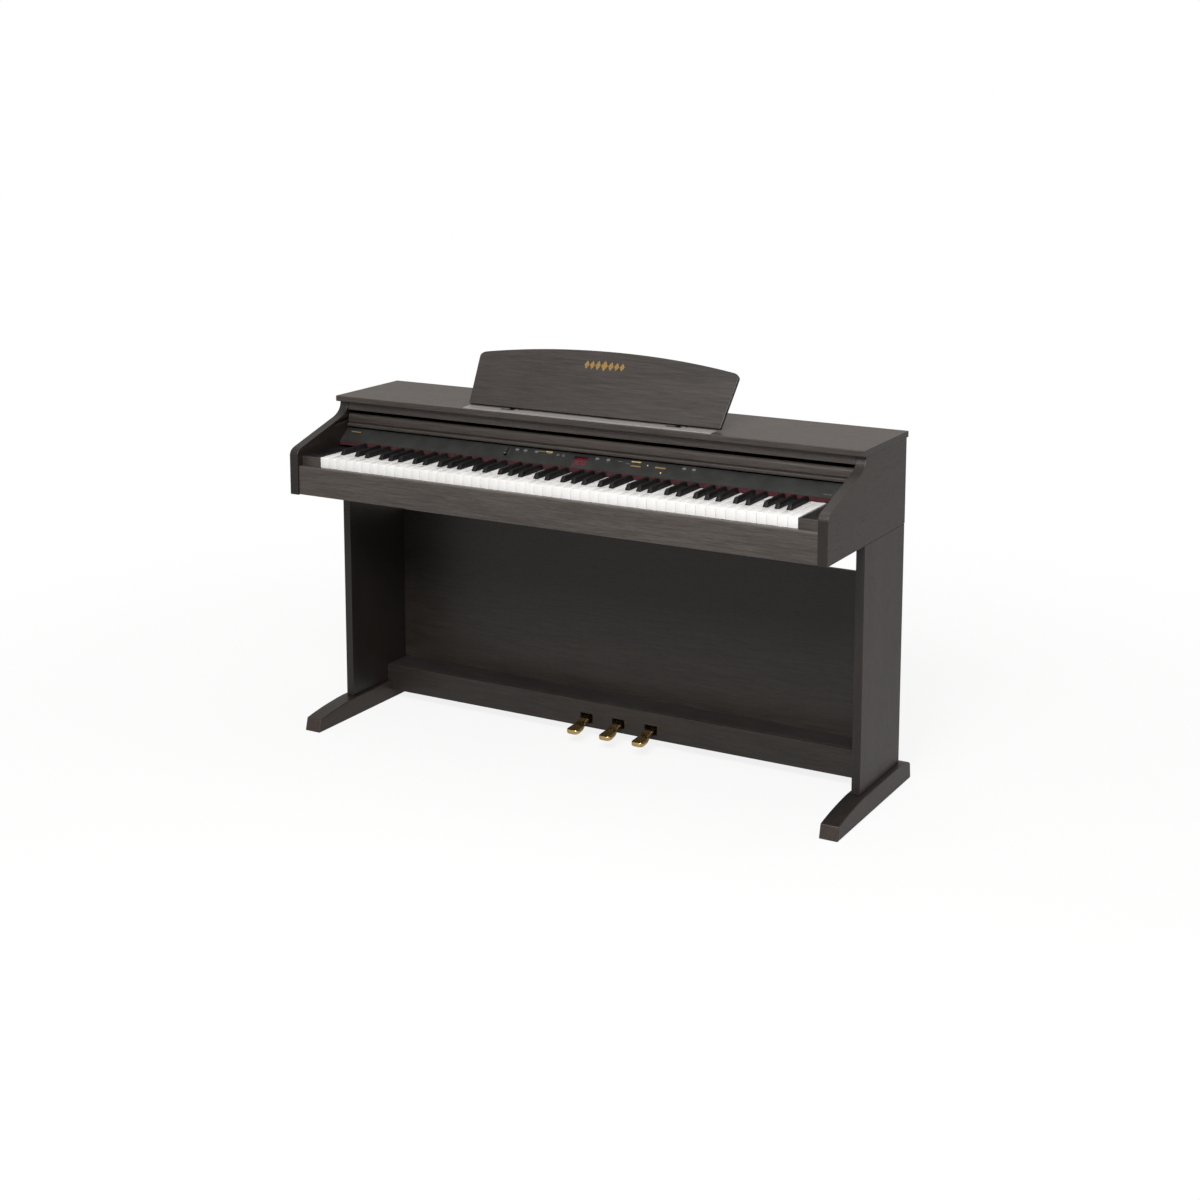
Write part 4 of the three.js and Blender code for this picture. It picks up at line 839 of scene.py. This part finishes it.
# volume slider: ridged cap with a white line, on its stem
RIDGES = 6
RIDGE_DEPTH = 0.35 * MM
CROWN_DROP = 0.9 * MM  # of the outer ridges below the middle ones
CAP_SHOULDER = 1.4 * MM
CAP_FOOT = 0.7 * MM
STEM_HALF_WIDTH = 0.8 * MM
LINE_HALF_WIDTH = 0.3 * MM
low, high = slope_extent("volume_slider")
cap_low, cap_high = slope_extent("volume_slider", lambda below: below < 3 * MM)
stem_x = (low[0] + high[0]) / 2
foot, head = low[1] - slope_foot, high[1] - slope_foot
cap_top = high[2] - slope_face
profile = [(foot, CAP_FOOT), (foot, cap_top - CAP_SHOULDER)]
for ridge in range(RIDGES):
    start = foot + (head - foot) * (ridge + 0.15) / RIDGES
    end = foot + (head - foot) * (ridge + 0.85) / RIDGES
    out = cap_top - CROWN_DROP * (1 - abs(ridge - 2.5) / 2.5)
    profile += [(start, out), (end, out), (end, out - RIDGE_DEPTH)]
profile[-1] = (head, cap_top - CAP_SHOULDER)
profile.append((head, CAP_FOOT))
bm = bmesh.new()
loft(bm, [[on_slope(x, up, out) for up, out in profile] for x in (cap_low[0], cap_high[0])])
round_edges(bm, 0.12 * MM, 2, 40.0)
block(bm, on_slope, stem_x - STEM_HALF_WIDTH, stem_x + STEM_HALF_WIDTH, foot, head, low[2] - slope_face,
      1.5 * MM)
middle = (foot + head) / 2
block(bm, on_slope, cap_low[0] + LINE_HALF_WIDTH, cap_high[0] - LINE_HALF_WIDTH, middle - LINE_HALF_WIDTH,
      middle + LINE_HALF_WIDTH, cap_top - 1.3 * MM, cap_top - INK_THICKNESS, 1)
finished("volume_slider_shaped", bm, "volume_slider", [knob_plastic, white_ink],
         ["volume_slider"])


def build_ink(name, ink, bars):
    """Printed bars on the slope: (x, up, half length, half height) in millimetres."""
    bm = bmesh.new()
    for x, up, half_x, half_up in bars:
        block(bm, on_slope, (x - half_x) * MM, (x + half_x) * MM, (up - half_up) * MM, (up + half_up) * MM,
              -0.02 * MM, INK_THICKNESS)
    finished(name, bm, "cabinet", [ink])


BUTTON_COLUMNS = (-172, -150, -120, 41, 70, 262, 286)
legend_bars = [(x, 38.0, 4.0, 0.5) for x in BUTTON_COLUMNS]
legend_bars += [(x, 26.8, 3.0, 0.4) for x in BUTTON_COLUMNS]
legend_bars += [(x, up, 0.9, 0.35) for x in (-203, -191) for up in (13, 17, 21, 25, 29, 33)]
legend_bars += [(612, 8.6, 10, 0.8), (100, 33, 6, 1.2), (122, 29, 6, 1.0)]
build_ink("panel_print_grey", grey_ink, legend_bars)
build_ink("panel_print_gold", gold_ink, [(-107, 36.0, 7.5, 1.2), (-84, 32.2, 7.0, 0.8), (143, 24.5, 13, 1.6),
                                         (204, 27.5, 13, 1.8), (-633, 30.2, 14, 1.4)])
build_ink("panel_print_pale_gold", pale_gold_ink, [(-88, 36.8, 9.0, 1.5), (140, 36.6, 12, 1.6)])
build_ink("panel_print_white", white_ink, [(x, up, 3.2, 0.4) for x in (-62, -48) for up in (33.0, 29.6)])

# two pilot lamps: small domed lenses
bm = bmesh.new()
for x, up in ((210.5, 13.7), (171.0, 30.0)):
    rings = []
    for out, radius in ((-0.1, 1.6), (0.35, 1.6), (0.7, 1.25), (0.9, 0.6)):
        rings.append([
            on_slope(x * MM + radius * MM * math.cos(a), up * MM + radius * MM * math.sin(a), out * MM)
            for a in (math.tau * i / 16 for i in range(16))
        ])
    loft(bm, rings)
finished("pilot_lamps", bm, "cabinet", [lamp_glow])

# three seven-segment digits just under the face of the window
SEGMENTS = {"1": "bc", "2": "abged", "0": "abcdef"}
window_low, window_high = slope_extent("display_window", lambda below: below < 1 * MM)
window_face = window_high[2] - slope_face
window_x, window_up = (window_low[0] + window_high[0]) / 2, (window_low[1] + window_high[1]) / 2 - slope_foot


def segment_bar(bm, x, up, half_x, half_up, lit):
    block(bm, on_slope, x - half_x, x + half_x, up - half_up, up + half_up, window_face - 0.05 * MM,
          window_face + 0.03 * MM, 0 if lit else 1)


DIGIT_PITCH = 10.5 * MM
wide, tall, thin = 3.0 * MM, 4.4 * MM, 0.65 * MM
across_bar, upright_bar = (wide - thin, thin), (thin, tall - thin)
SEGMENT_BARS = {
    "a": (0, 2 * tall, across_bar), "g": (0, 0, across_bar), "d": (0, -2 * tall, across_bar),
    "b": (wide, tall, upright_bar), "c": (wide, -tall, upright_bar),
    "f": (-wide, tall, upright_bar), "e": (-wide, -tall, upright_bar),
}
bm = bmesh.new()
for place, digit in enumerate("120"):
    x = window_x + (place - 1) * DIGIT_PITCH
    for letter, (aside, up, halves) in SEGMENT_BARS.items():
        segment_bar(bm, x + aside, window_up + up, *halves, letter in SEGMENTS[digit])
finished("display_digits", bm, "cabinet", [segment_lit, segment_unlit])


# ---------- inlay on the music desk: a row of lozenges ----------
desk = next(mount for mount in frame["record"]["mounts"] if mount["name"] == "desk_face")
desk_out = Vector(desk["axis"]).normalized()
desk_up = Vector((0.0, -desk_out.z, desk_out.y)).normalized()
if desk_up.z < 0:
    desk_up.negate()
desk_point = Vector(desk["pos_m"])


def on_desk(x, up, out):
    return desk_point + Vector((x, 0.0, 0.0)) + desk_up * up + desk_out * out


DESK_FACE_HEIGHT = 70 * MM  # of the face's middle above the foot of the desk
INLAY_HEIGHT = 124.5 * MM  # above the foot of the desk
LOZENGES = [  # middle, half width and half height in millimetres
    (0, 8.5, 14.0), (-17, 7.0, 12.5), (17, 7.0, 11.5), (-32, 6.5, 11.5), (32, 6.5, 10.5), (-46.5, 6.5, 11.0),
    (46.5, 6.5, 10.0),
]
inlay_up = INLAY_HEIGHT - DESK_FACE_HEIGHT
bm = bmesh.new()
for x, half, tall in LOZENGES:
    outline = [(x - half, 0), (x, -tall), (x + half, 0), (x, tall)]
    loft(bm, [[on_desk(a * MM, inlay_up + b * MM, out) for a, b in outline]
              for out in (-0.1 * MM, 0.06 * MM)])
finished("desk_inlay", bm, "music_desk", [gold_ink])


# ---------- pedals: brass levers drawn over stations from the toe to the hub ----------
# distance from the toe, half width, top and bottom above the lip's lowest point, in millimetres
PEDAL_STATIONS = [
    (0.0, 4.5, 8.4, 3.4), (0.7, 8.0, 10.4, 1.6), (2.2, 11.6, 11.7, 0.5), (4.6, 14.4, 12.3, 0.1),
    (8.0, 16.3, 12.5, 0.4), (12.0, 17.0, 12.5, 0.9), (18.0, 17.0, 12.5, 1.8), (26.0, 17.0, 12.7, 3.0),
    (32.0, 16.2, 13.4, 4.9), (38.0, 14.6, 15.2, 7.2), (44.0, 13.2, 17.6, 9.6), (50.0, 12.4, 20.2, 11.8),
    (58.0, 12.0, 22.4, 13.3), (66.0, 12.0, 23.4, 14.4), (92.0, 12.0, 23.2, 14.5), (99.0, 10.5, 23.0, 14.5),
    (105.0, 7.5, 22.8, 14.6), (112.0, 7.5, 22.8, 14.6),
]


HUB_RADIUS = 7.5 * MM
HUB_HALF_WIDTH = 9 * MM


def pedal_ring(x, y, half, top, bottom, count=24, squareness=0.42):
    ring = []
    for i in range(count):
        angle = math.tau * (i + 0.5) / count
        c, s = math.cos(angle), math.sin(angle)
        ring.append((x + half * math.copysign(abs(c) ** squareness, c), y,
                     (top + bottom) / 2 + (top - bottom) / 2 * math.copysign(abs(s) ** squareness, s)))
    return ring


def build_pedal(node):
    low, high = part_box(node)
    x = (low.x + high.x) / 2
    pivot = Vector(joints[f"{node}_press"]["pos_m"])
    bm = bmesh.new()
    rings = [
        pedal_ring(x, low.y + back * MM, half * MM, low.z + top * MM, low.z + bottom * MM)
        for back, half, top, bottom in PEDAL_STATIONS
    ]
    loft(bm, rings)
    loft(bm, [
        [(x + side * HUB_HALF_WIDTH, pivot.y + HUB_RADIUS * math.cos(a), pivot.z + HUB_RADIUS * math.sin(a))
         for a in (math.tau * i / 32 for i in range(32))]
        for side in (-1, 1)
    ])
    piece = finished(f"{node}_shaped", bm, node, [brass], [node], 60.0)
    smooth = piece.modifiers.new("smooth_lever", "SUBSURF")
    smooth.levels = 1
    smooth.render_levels = 1


# black guards behind the pedal slots, dark sheets standing in for the shade inside the pedal box, open only where
# the levers pass and swing, and a flap on each lever that keeps the opening dark as the lever moves, painted shade
# as well
SLOT_GAP = 1 * MM
SWING_ROOM = 4.5 * MM
LEVER_HALF_WIDTH = 12 * MM
LEVER_BOTTOM, LEVER_TOP = 14 * MM, 23.4 * MM  # above the lip's lowest point, where the lever passes its slot
GUARD_BACK, GUARD_THICKNESS = 0.2 * MM, 1.2 * MM  # behind the board's rear face
GUARD_HALF_WIDTH = 20 * MM
GUARD_BOTTOM, GUARD_TOP = -2 * MM, 40 * MM  # above the lip's lowest point
FLAP_BACK, FLAP_THICKNESS = 3.4 * MM, 1.2 * MM
FLAP_HALF_WIDTH, FLAP_RISE, FLAP_DROP, FLAP_BEVEL = 16 * MM, 6 * MM, 8 * MM, 0.3 * MM
board_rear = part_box("pedal_board")[1].y


def build_shade_guard(node, x, lip):
    hole = LEVER_HALF_WIDTH + SLOT_GAP
    sill, head = lip + LEVER_BOTTOM - SWING_ROOM, lip + LEVER_TOP + SLOT_GAP
    bottom, top = lip + GUARD_BOTTOM, lip + GUARD_TOP
    front = board_rear + GUARD_BACK
    bm = bmesh.new()
    for left, right, low, high in (
        (x - GUARD_HALF_WIDTH, x - hole, bottom, top), (x + hole, x + GUARD_HALF_WIDTH, bottom, top),
        (x - hole, x + hole, bottom, sill), (x - hole, x + hole, head, top),
    ):
        block(bm, in_row, left, right, front, front + GUARD_THICKNESS, low, high)
    finished(f"slot_shade_guard_{node[6:]}", bm, "cabinet", [black_plastic])


def build_shade_flap(node, x, lip):
    top, bottom = lip + LEVER_TOP + FLAP_RISE, lip + LEVER_BOTTOM - FLAP_DROP
    bm = bmesh.new()
    loft(bm, [
        pedal_ring(x, board_rear + FLAP_BACK + back, FLAP_HALF_WIDTH - inset, top - inset, bottom + inset,
                   squareness=0.2)
        for back, inset in ((0.0, FLAP_BEVEL), (FLAP_BEVEL, 0.0), (FLAP_THICKNESS, 0.0))
    ])
    finished(f"slot_shade_flap_{node[6:]}", bm, node, [black_plastic])


for node in ("pedal_left", "pedal_middle", "pedal_right"):
    build_pedal(node)
for node in ("pedal_left", "pedal_middle", "pedal_right"):
    low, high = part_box(node)
    build_shade_guard(node, (low.x + high.x) / 2, low.z)
    build_shade_flap(node, (low.x + high.x) / 2, low.z)


# ---------- small fittings ----------
def ring_of(centre, across, along, radius, count=24):
    return [centre + across * (radius * math.cos(a)) + along * (radius * math.sin(a))
            for a in (math.tau * i / count for i in range(count))]


def build_screws(name, body, places, outward, radius):
    """Pan-head screws with a crossed recess. Each stands on its surface and points outward."""
    outward = outward.normalized()
    across = outward.orthogonal().normalized()
    along = outward.cross(across)
    bm = bmesh.new()
    for place in places:
        rings = [ring_of(place + outward * (out * radius), across, along, size * radius)
                 for out, size in ((-0.3, 1.0), (0.12, 1.0), (0.32, 0.86), (0.42, 0.55))]
        loft(bm, rings)
        for first, second in ((across, along), (along, across)):
            arm = [place + first * (a * radius) + second * (b * radius) + outward * (0.425 * radius)
                   for a, b in ((-0.5, -0.09), (0.5, -0.09), (0.5, 0.09), (-0.5, 0.09))]
            loft(bm, [arm, [p + outward * (0.012 * radius) for p in arm]], 1)
    finished(name, bm, body, [bright_steel, black_plastic])


HINGE_SCREW_RADIUS = 2.6 * MM
HINGE_SCREW_PLACE = 0.6  # share of the hinge's half width
BASE_THICKNESS = 1.5 * MM
BASE_SCREW_INSET = 8 * MM  # from the base's rear edge
LEAF_SCREW_HEIGHT = 22 * MM  # above the foot of the desk
LEAF_FACE = -11.8 * MM  # from the desk's front face
for side in ("left", "right"):
    low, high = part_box(f"desk_hinge_base_{side}")
    middle, half = (low.x + high.x) / 2, (high.x - low.x) / 2
    columns = [middle + s * half * HINGE_SCREW_PLACE for s in (-1, 1)]
    on_base = [Vector((x, high.y - BASE_SCREW_INSET, low.z + BASE_THICKNESS)) for x in columns]
    build_screws(f"hinge_base_screws_{side}", "cabinet", on_base, Vector((0, 0, 1)),
                 HINGE_SCREW_RADIUS)
    on_leaf = [on_desk(x - desk_point.x, LEAF_SCREW_HEIGHT - DESK_FACE_HEIGHT, LEAF_FACE) for x in columns]
    build_screws(f"hinge_leaf_screws_{side}", "music_desk", on_leaf, -desk_out, HINGE_SCREW_RADIUS)

# the connector plate: metal sleeves in the round sockets and two fixing screws
SOCKET_OFFSETS = (27 * MM, 42 * MM)  # from the plate's middle
SLEEVE_PROFILE = [(-0.4, 5.0), (0.0, 5.0), (0.0, 4.6), (0.0, 3.3), (-9.0, 3.3)]  # out and radius, millimetres
SLEEVE_SIDES = 24
PLATE_SCREW_INSET = 4 * MM
PLATE_SCREW_SINK = 0.35 * MM
plate_low, plate_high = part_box("jack_panel")
plate_x, plate_z = (plate_low.x + plate_high.x) / 2, (plate_low.z + plate_high.z) / 2
across, along, outward = Vector((1, 0, 0)), Vector((0, 0, 1)), Vector((0, 1, 0))
bm = bmesh.new()
for offset in SOCKET_OFFSETS:
    centre = Vector((plate_x + offset, plate_high.y, plate_z))
    rings = [[bm.verts.new(p) for p in ring_of(centre + outward * (out * MM), across, along, radius * MM,
                                               SLEEVE_SIDES)]
             for out, radius in SLEEVE_PROFILE]
    for lower, upper in zip(rings, rings[1:]):
        for i in range(SLEEVE_SIDES):
            j = (i + 1) % SLEEVE_SIDES
            bm.faces.new((lower[i], lower[j], upper[j], upper[i]))
finished("socket_sleeves", bm, "cabinet", [bright_steel])
on_plate = [Vector((x, plate_high.y - PLATE_SCREW_SINK, plate_z))
            for x in (plate_low.x + PLATE_SCREW_INSET, plate_high.x - PLATE_SCREW_INSET)]
build_screws("plate_screws", "cabinet", on_plate, outward, 2.2 * MM)


# ---------- studio: pale floor, soft lights, camera ----------
FLOOR_FADE = 0.85
FLOOR_BOUNCE = 0.25
AMBIENT_LOW = 0.12
AMBIENT_HIGH = 0.4
REFLECTED = 0.55
WARM_WHITE = (1.0, 0.95, 0.9, 1)
FLOOR_REFLECTED = 0.35


def make_floor():
    """Pale floor that keeps a faint shadow and fades into the backdrop; it throws little light back up."""
    material = bpy.data.materials.new("pale_floor")
    material.use_nodes = True
    tree = material.node_tree
    tree.nodes.clear()
    place = add_node(tree, "ShaderNodeTexCoord").outputs["Object"]
    distance = add_node(tree, "ShaderNodeVectorMath", {0: place}, operation="LENGTH").outputs["Value"]
    lit = add_node(tree, "ShaderNodeBsdfDiffuse", {"Color": (0.9, 0.9, 0.9, 1)})
    white = add_node(tree, "ShaderNodeEmission", {"Color": (1, 1, 1, 1), "Strength": 1.0})
    seen = add_node(tree, "ShaderNodeMixShader", {0: ranged(tree, distance, 0.6, 2.6, FLOOR_FADE, 1.0),
                                                  1: lit.outputs[0], 2: white.outputs[0]})
    bounce = add_node(tree, "ShaderNodeBsdfDiffuse", {"Color": (FLOOR_BOUNCE, FLOOR_BOUNCE, FLOOR_BOUNCE, 1)})
    path = add_node(tree, "ShaderNodeLightPath").outputs
    mirrored = times(tree, path["Is Glossy Ray"], FLOOR_REFLECTED)
    looked_at = plus(tree, path["Is Camera Ray"], mirrored, True)
    both = add_node(tree, "ShaderNodeMixShader", {0: looked_at, 1: bounce.outputs[0], 2: seen.outputs[0]})
    add_node(tree, "ShaderNodeOutputMaterial", {"Surface": both.outputs[0]})
    bm = bmesh.new()
    bmesh.ops.create_circle(bm, cap_ends=True, segments=96, radius=90.0)
    mesh = bpy.data.meshes.new("floor")
    bm.to_mesh(mesh)
    bm.free()
    mesh.materials.append(material)
    floor = bpy.data.objects.new("floor", mesh)
    floor.location.z = cad_low.z - 0.0005
    scene.collection.objects.link(floor)


def make_world():
    """White backdrop and reflections; the light it casts is softer and comes mostly from above."""
    world = bpy.data.worlds.new("studio")
    scene.world = world
    world.use_nodes = True
    tree = world.node_tree
    tree.nodes.clear()
    direction = add_node(tree, "ShaderNodeTexCoord").outputs["Generated"]
    upward = add_node(tree, "ShaderNodeSeparateXYZ", {0: direction}).outputs["Z"]
    path = add_node(tree, "ShaderNodeLightPath").outputs
    ambient = ranged(tree, upward, -0.2, 0.9, AMBIENT_LOW, AMBIENT_HIGH)
    casting = add_node(tree, "ShaderNodeBackground", {"Color": WARM_WHITE, "Strength": ambient})
    mirrored = add_node(tree, "ShaderNodeBackground", {"Color": WARM_WHITE, "Strength": REFLECTED})
    backdrop = add_node(tree, "ShaderNodeBackground", {"Color": (1, 1, 1, 1), "Strength": 1.0})
    glossy = add_node(tree, "ShaderNodeMixShader", {0: path["Is Glossy Ray"], 1: casting.outputs[0],
                                                    2: mirrored.outputs[0]})
    both = add_node(tree, "ShaderNodeMixShader", {0: path["Is Camera Ray"], 1: glossy.outputs[0],
                                                  2: backdrop.outputs[0]})
    add_node(tree, "ShaderNodeOutputWorld", {"Surface": both.outputs[0]})


def add_softbox(name, place, target, width, height, power):
    lamp = bpy.data.lights.new(name, "AREA")
    lamp.shape = "RECTANGLE"
    lamp.size = width
    lamp.size_y = height
    lamp.energy = power
    softbox = bpy.data.objects.new(name, lamp)
    softbox.location = place
    softbox.rotation_euler = (Vector(target) - Vector(place)).to_track_quat("-Z", "Y").to_euler()
    scene.collection.objects.link(softbox)


make_floor()
make_world()
add_softbox("front_softbox", (1.1, -3.2, 3.2), (0.1, 0, 0.6), 2.2, 1.4, 180)
add_softbox("overhead_softbox", (0.3, 0.2, 3.4), (0, 0, 0.6), 2.6, 1.6, 18)

CAMERA_PLACE = (2.17019, -3.80011, 1.62577)
CAMERA_TURN = math.radians(29.496)
CAMERA_DIP = math.radians(8.846)
camera = bpy.data.objects.new("camera", bpy.data.cameras.new("camera"))
camera.data.lens = 58.24
camera.data.sensor_width = 36.0
camera.data.shift_y = -0.2
camera.location = CAMERA_PLACE
camera.rotation_euler = (math.pi / 2 - CAMERA_DIP, 0.0, CAMERA_TURN)
camera.data.clip_start = 0.05
camera.data.clip_end = 300.0
scene.collection.objects.link(camera)
scene.camera = camera
scene.view_settings.view_transform = "Standard"
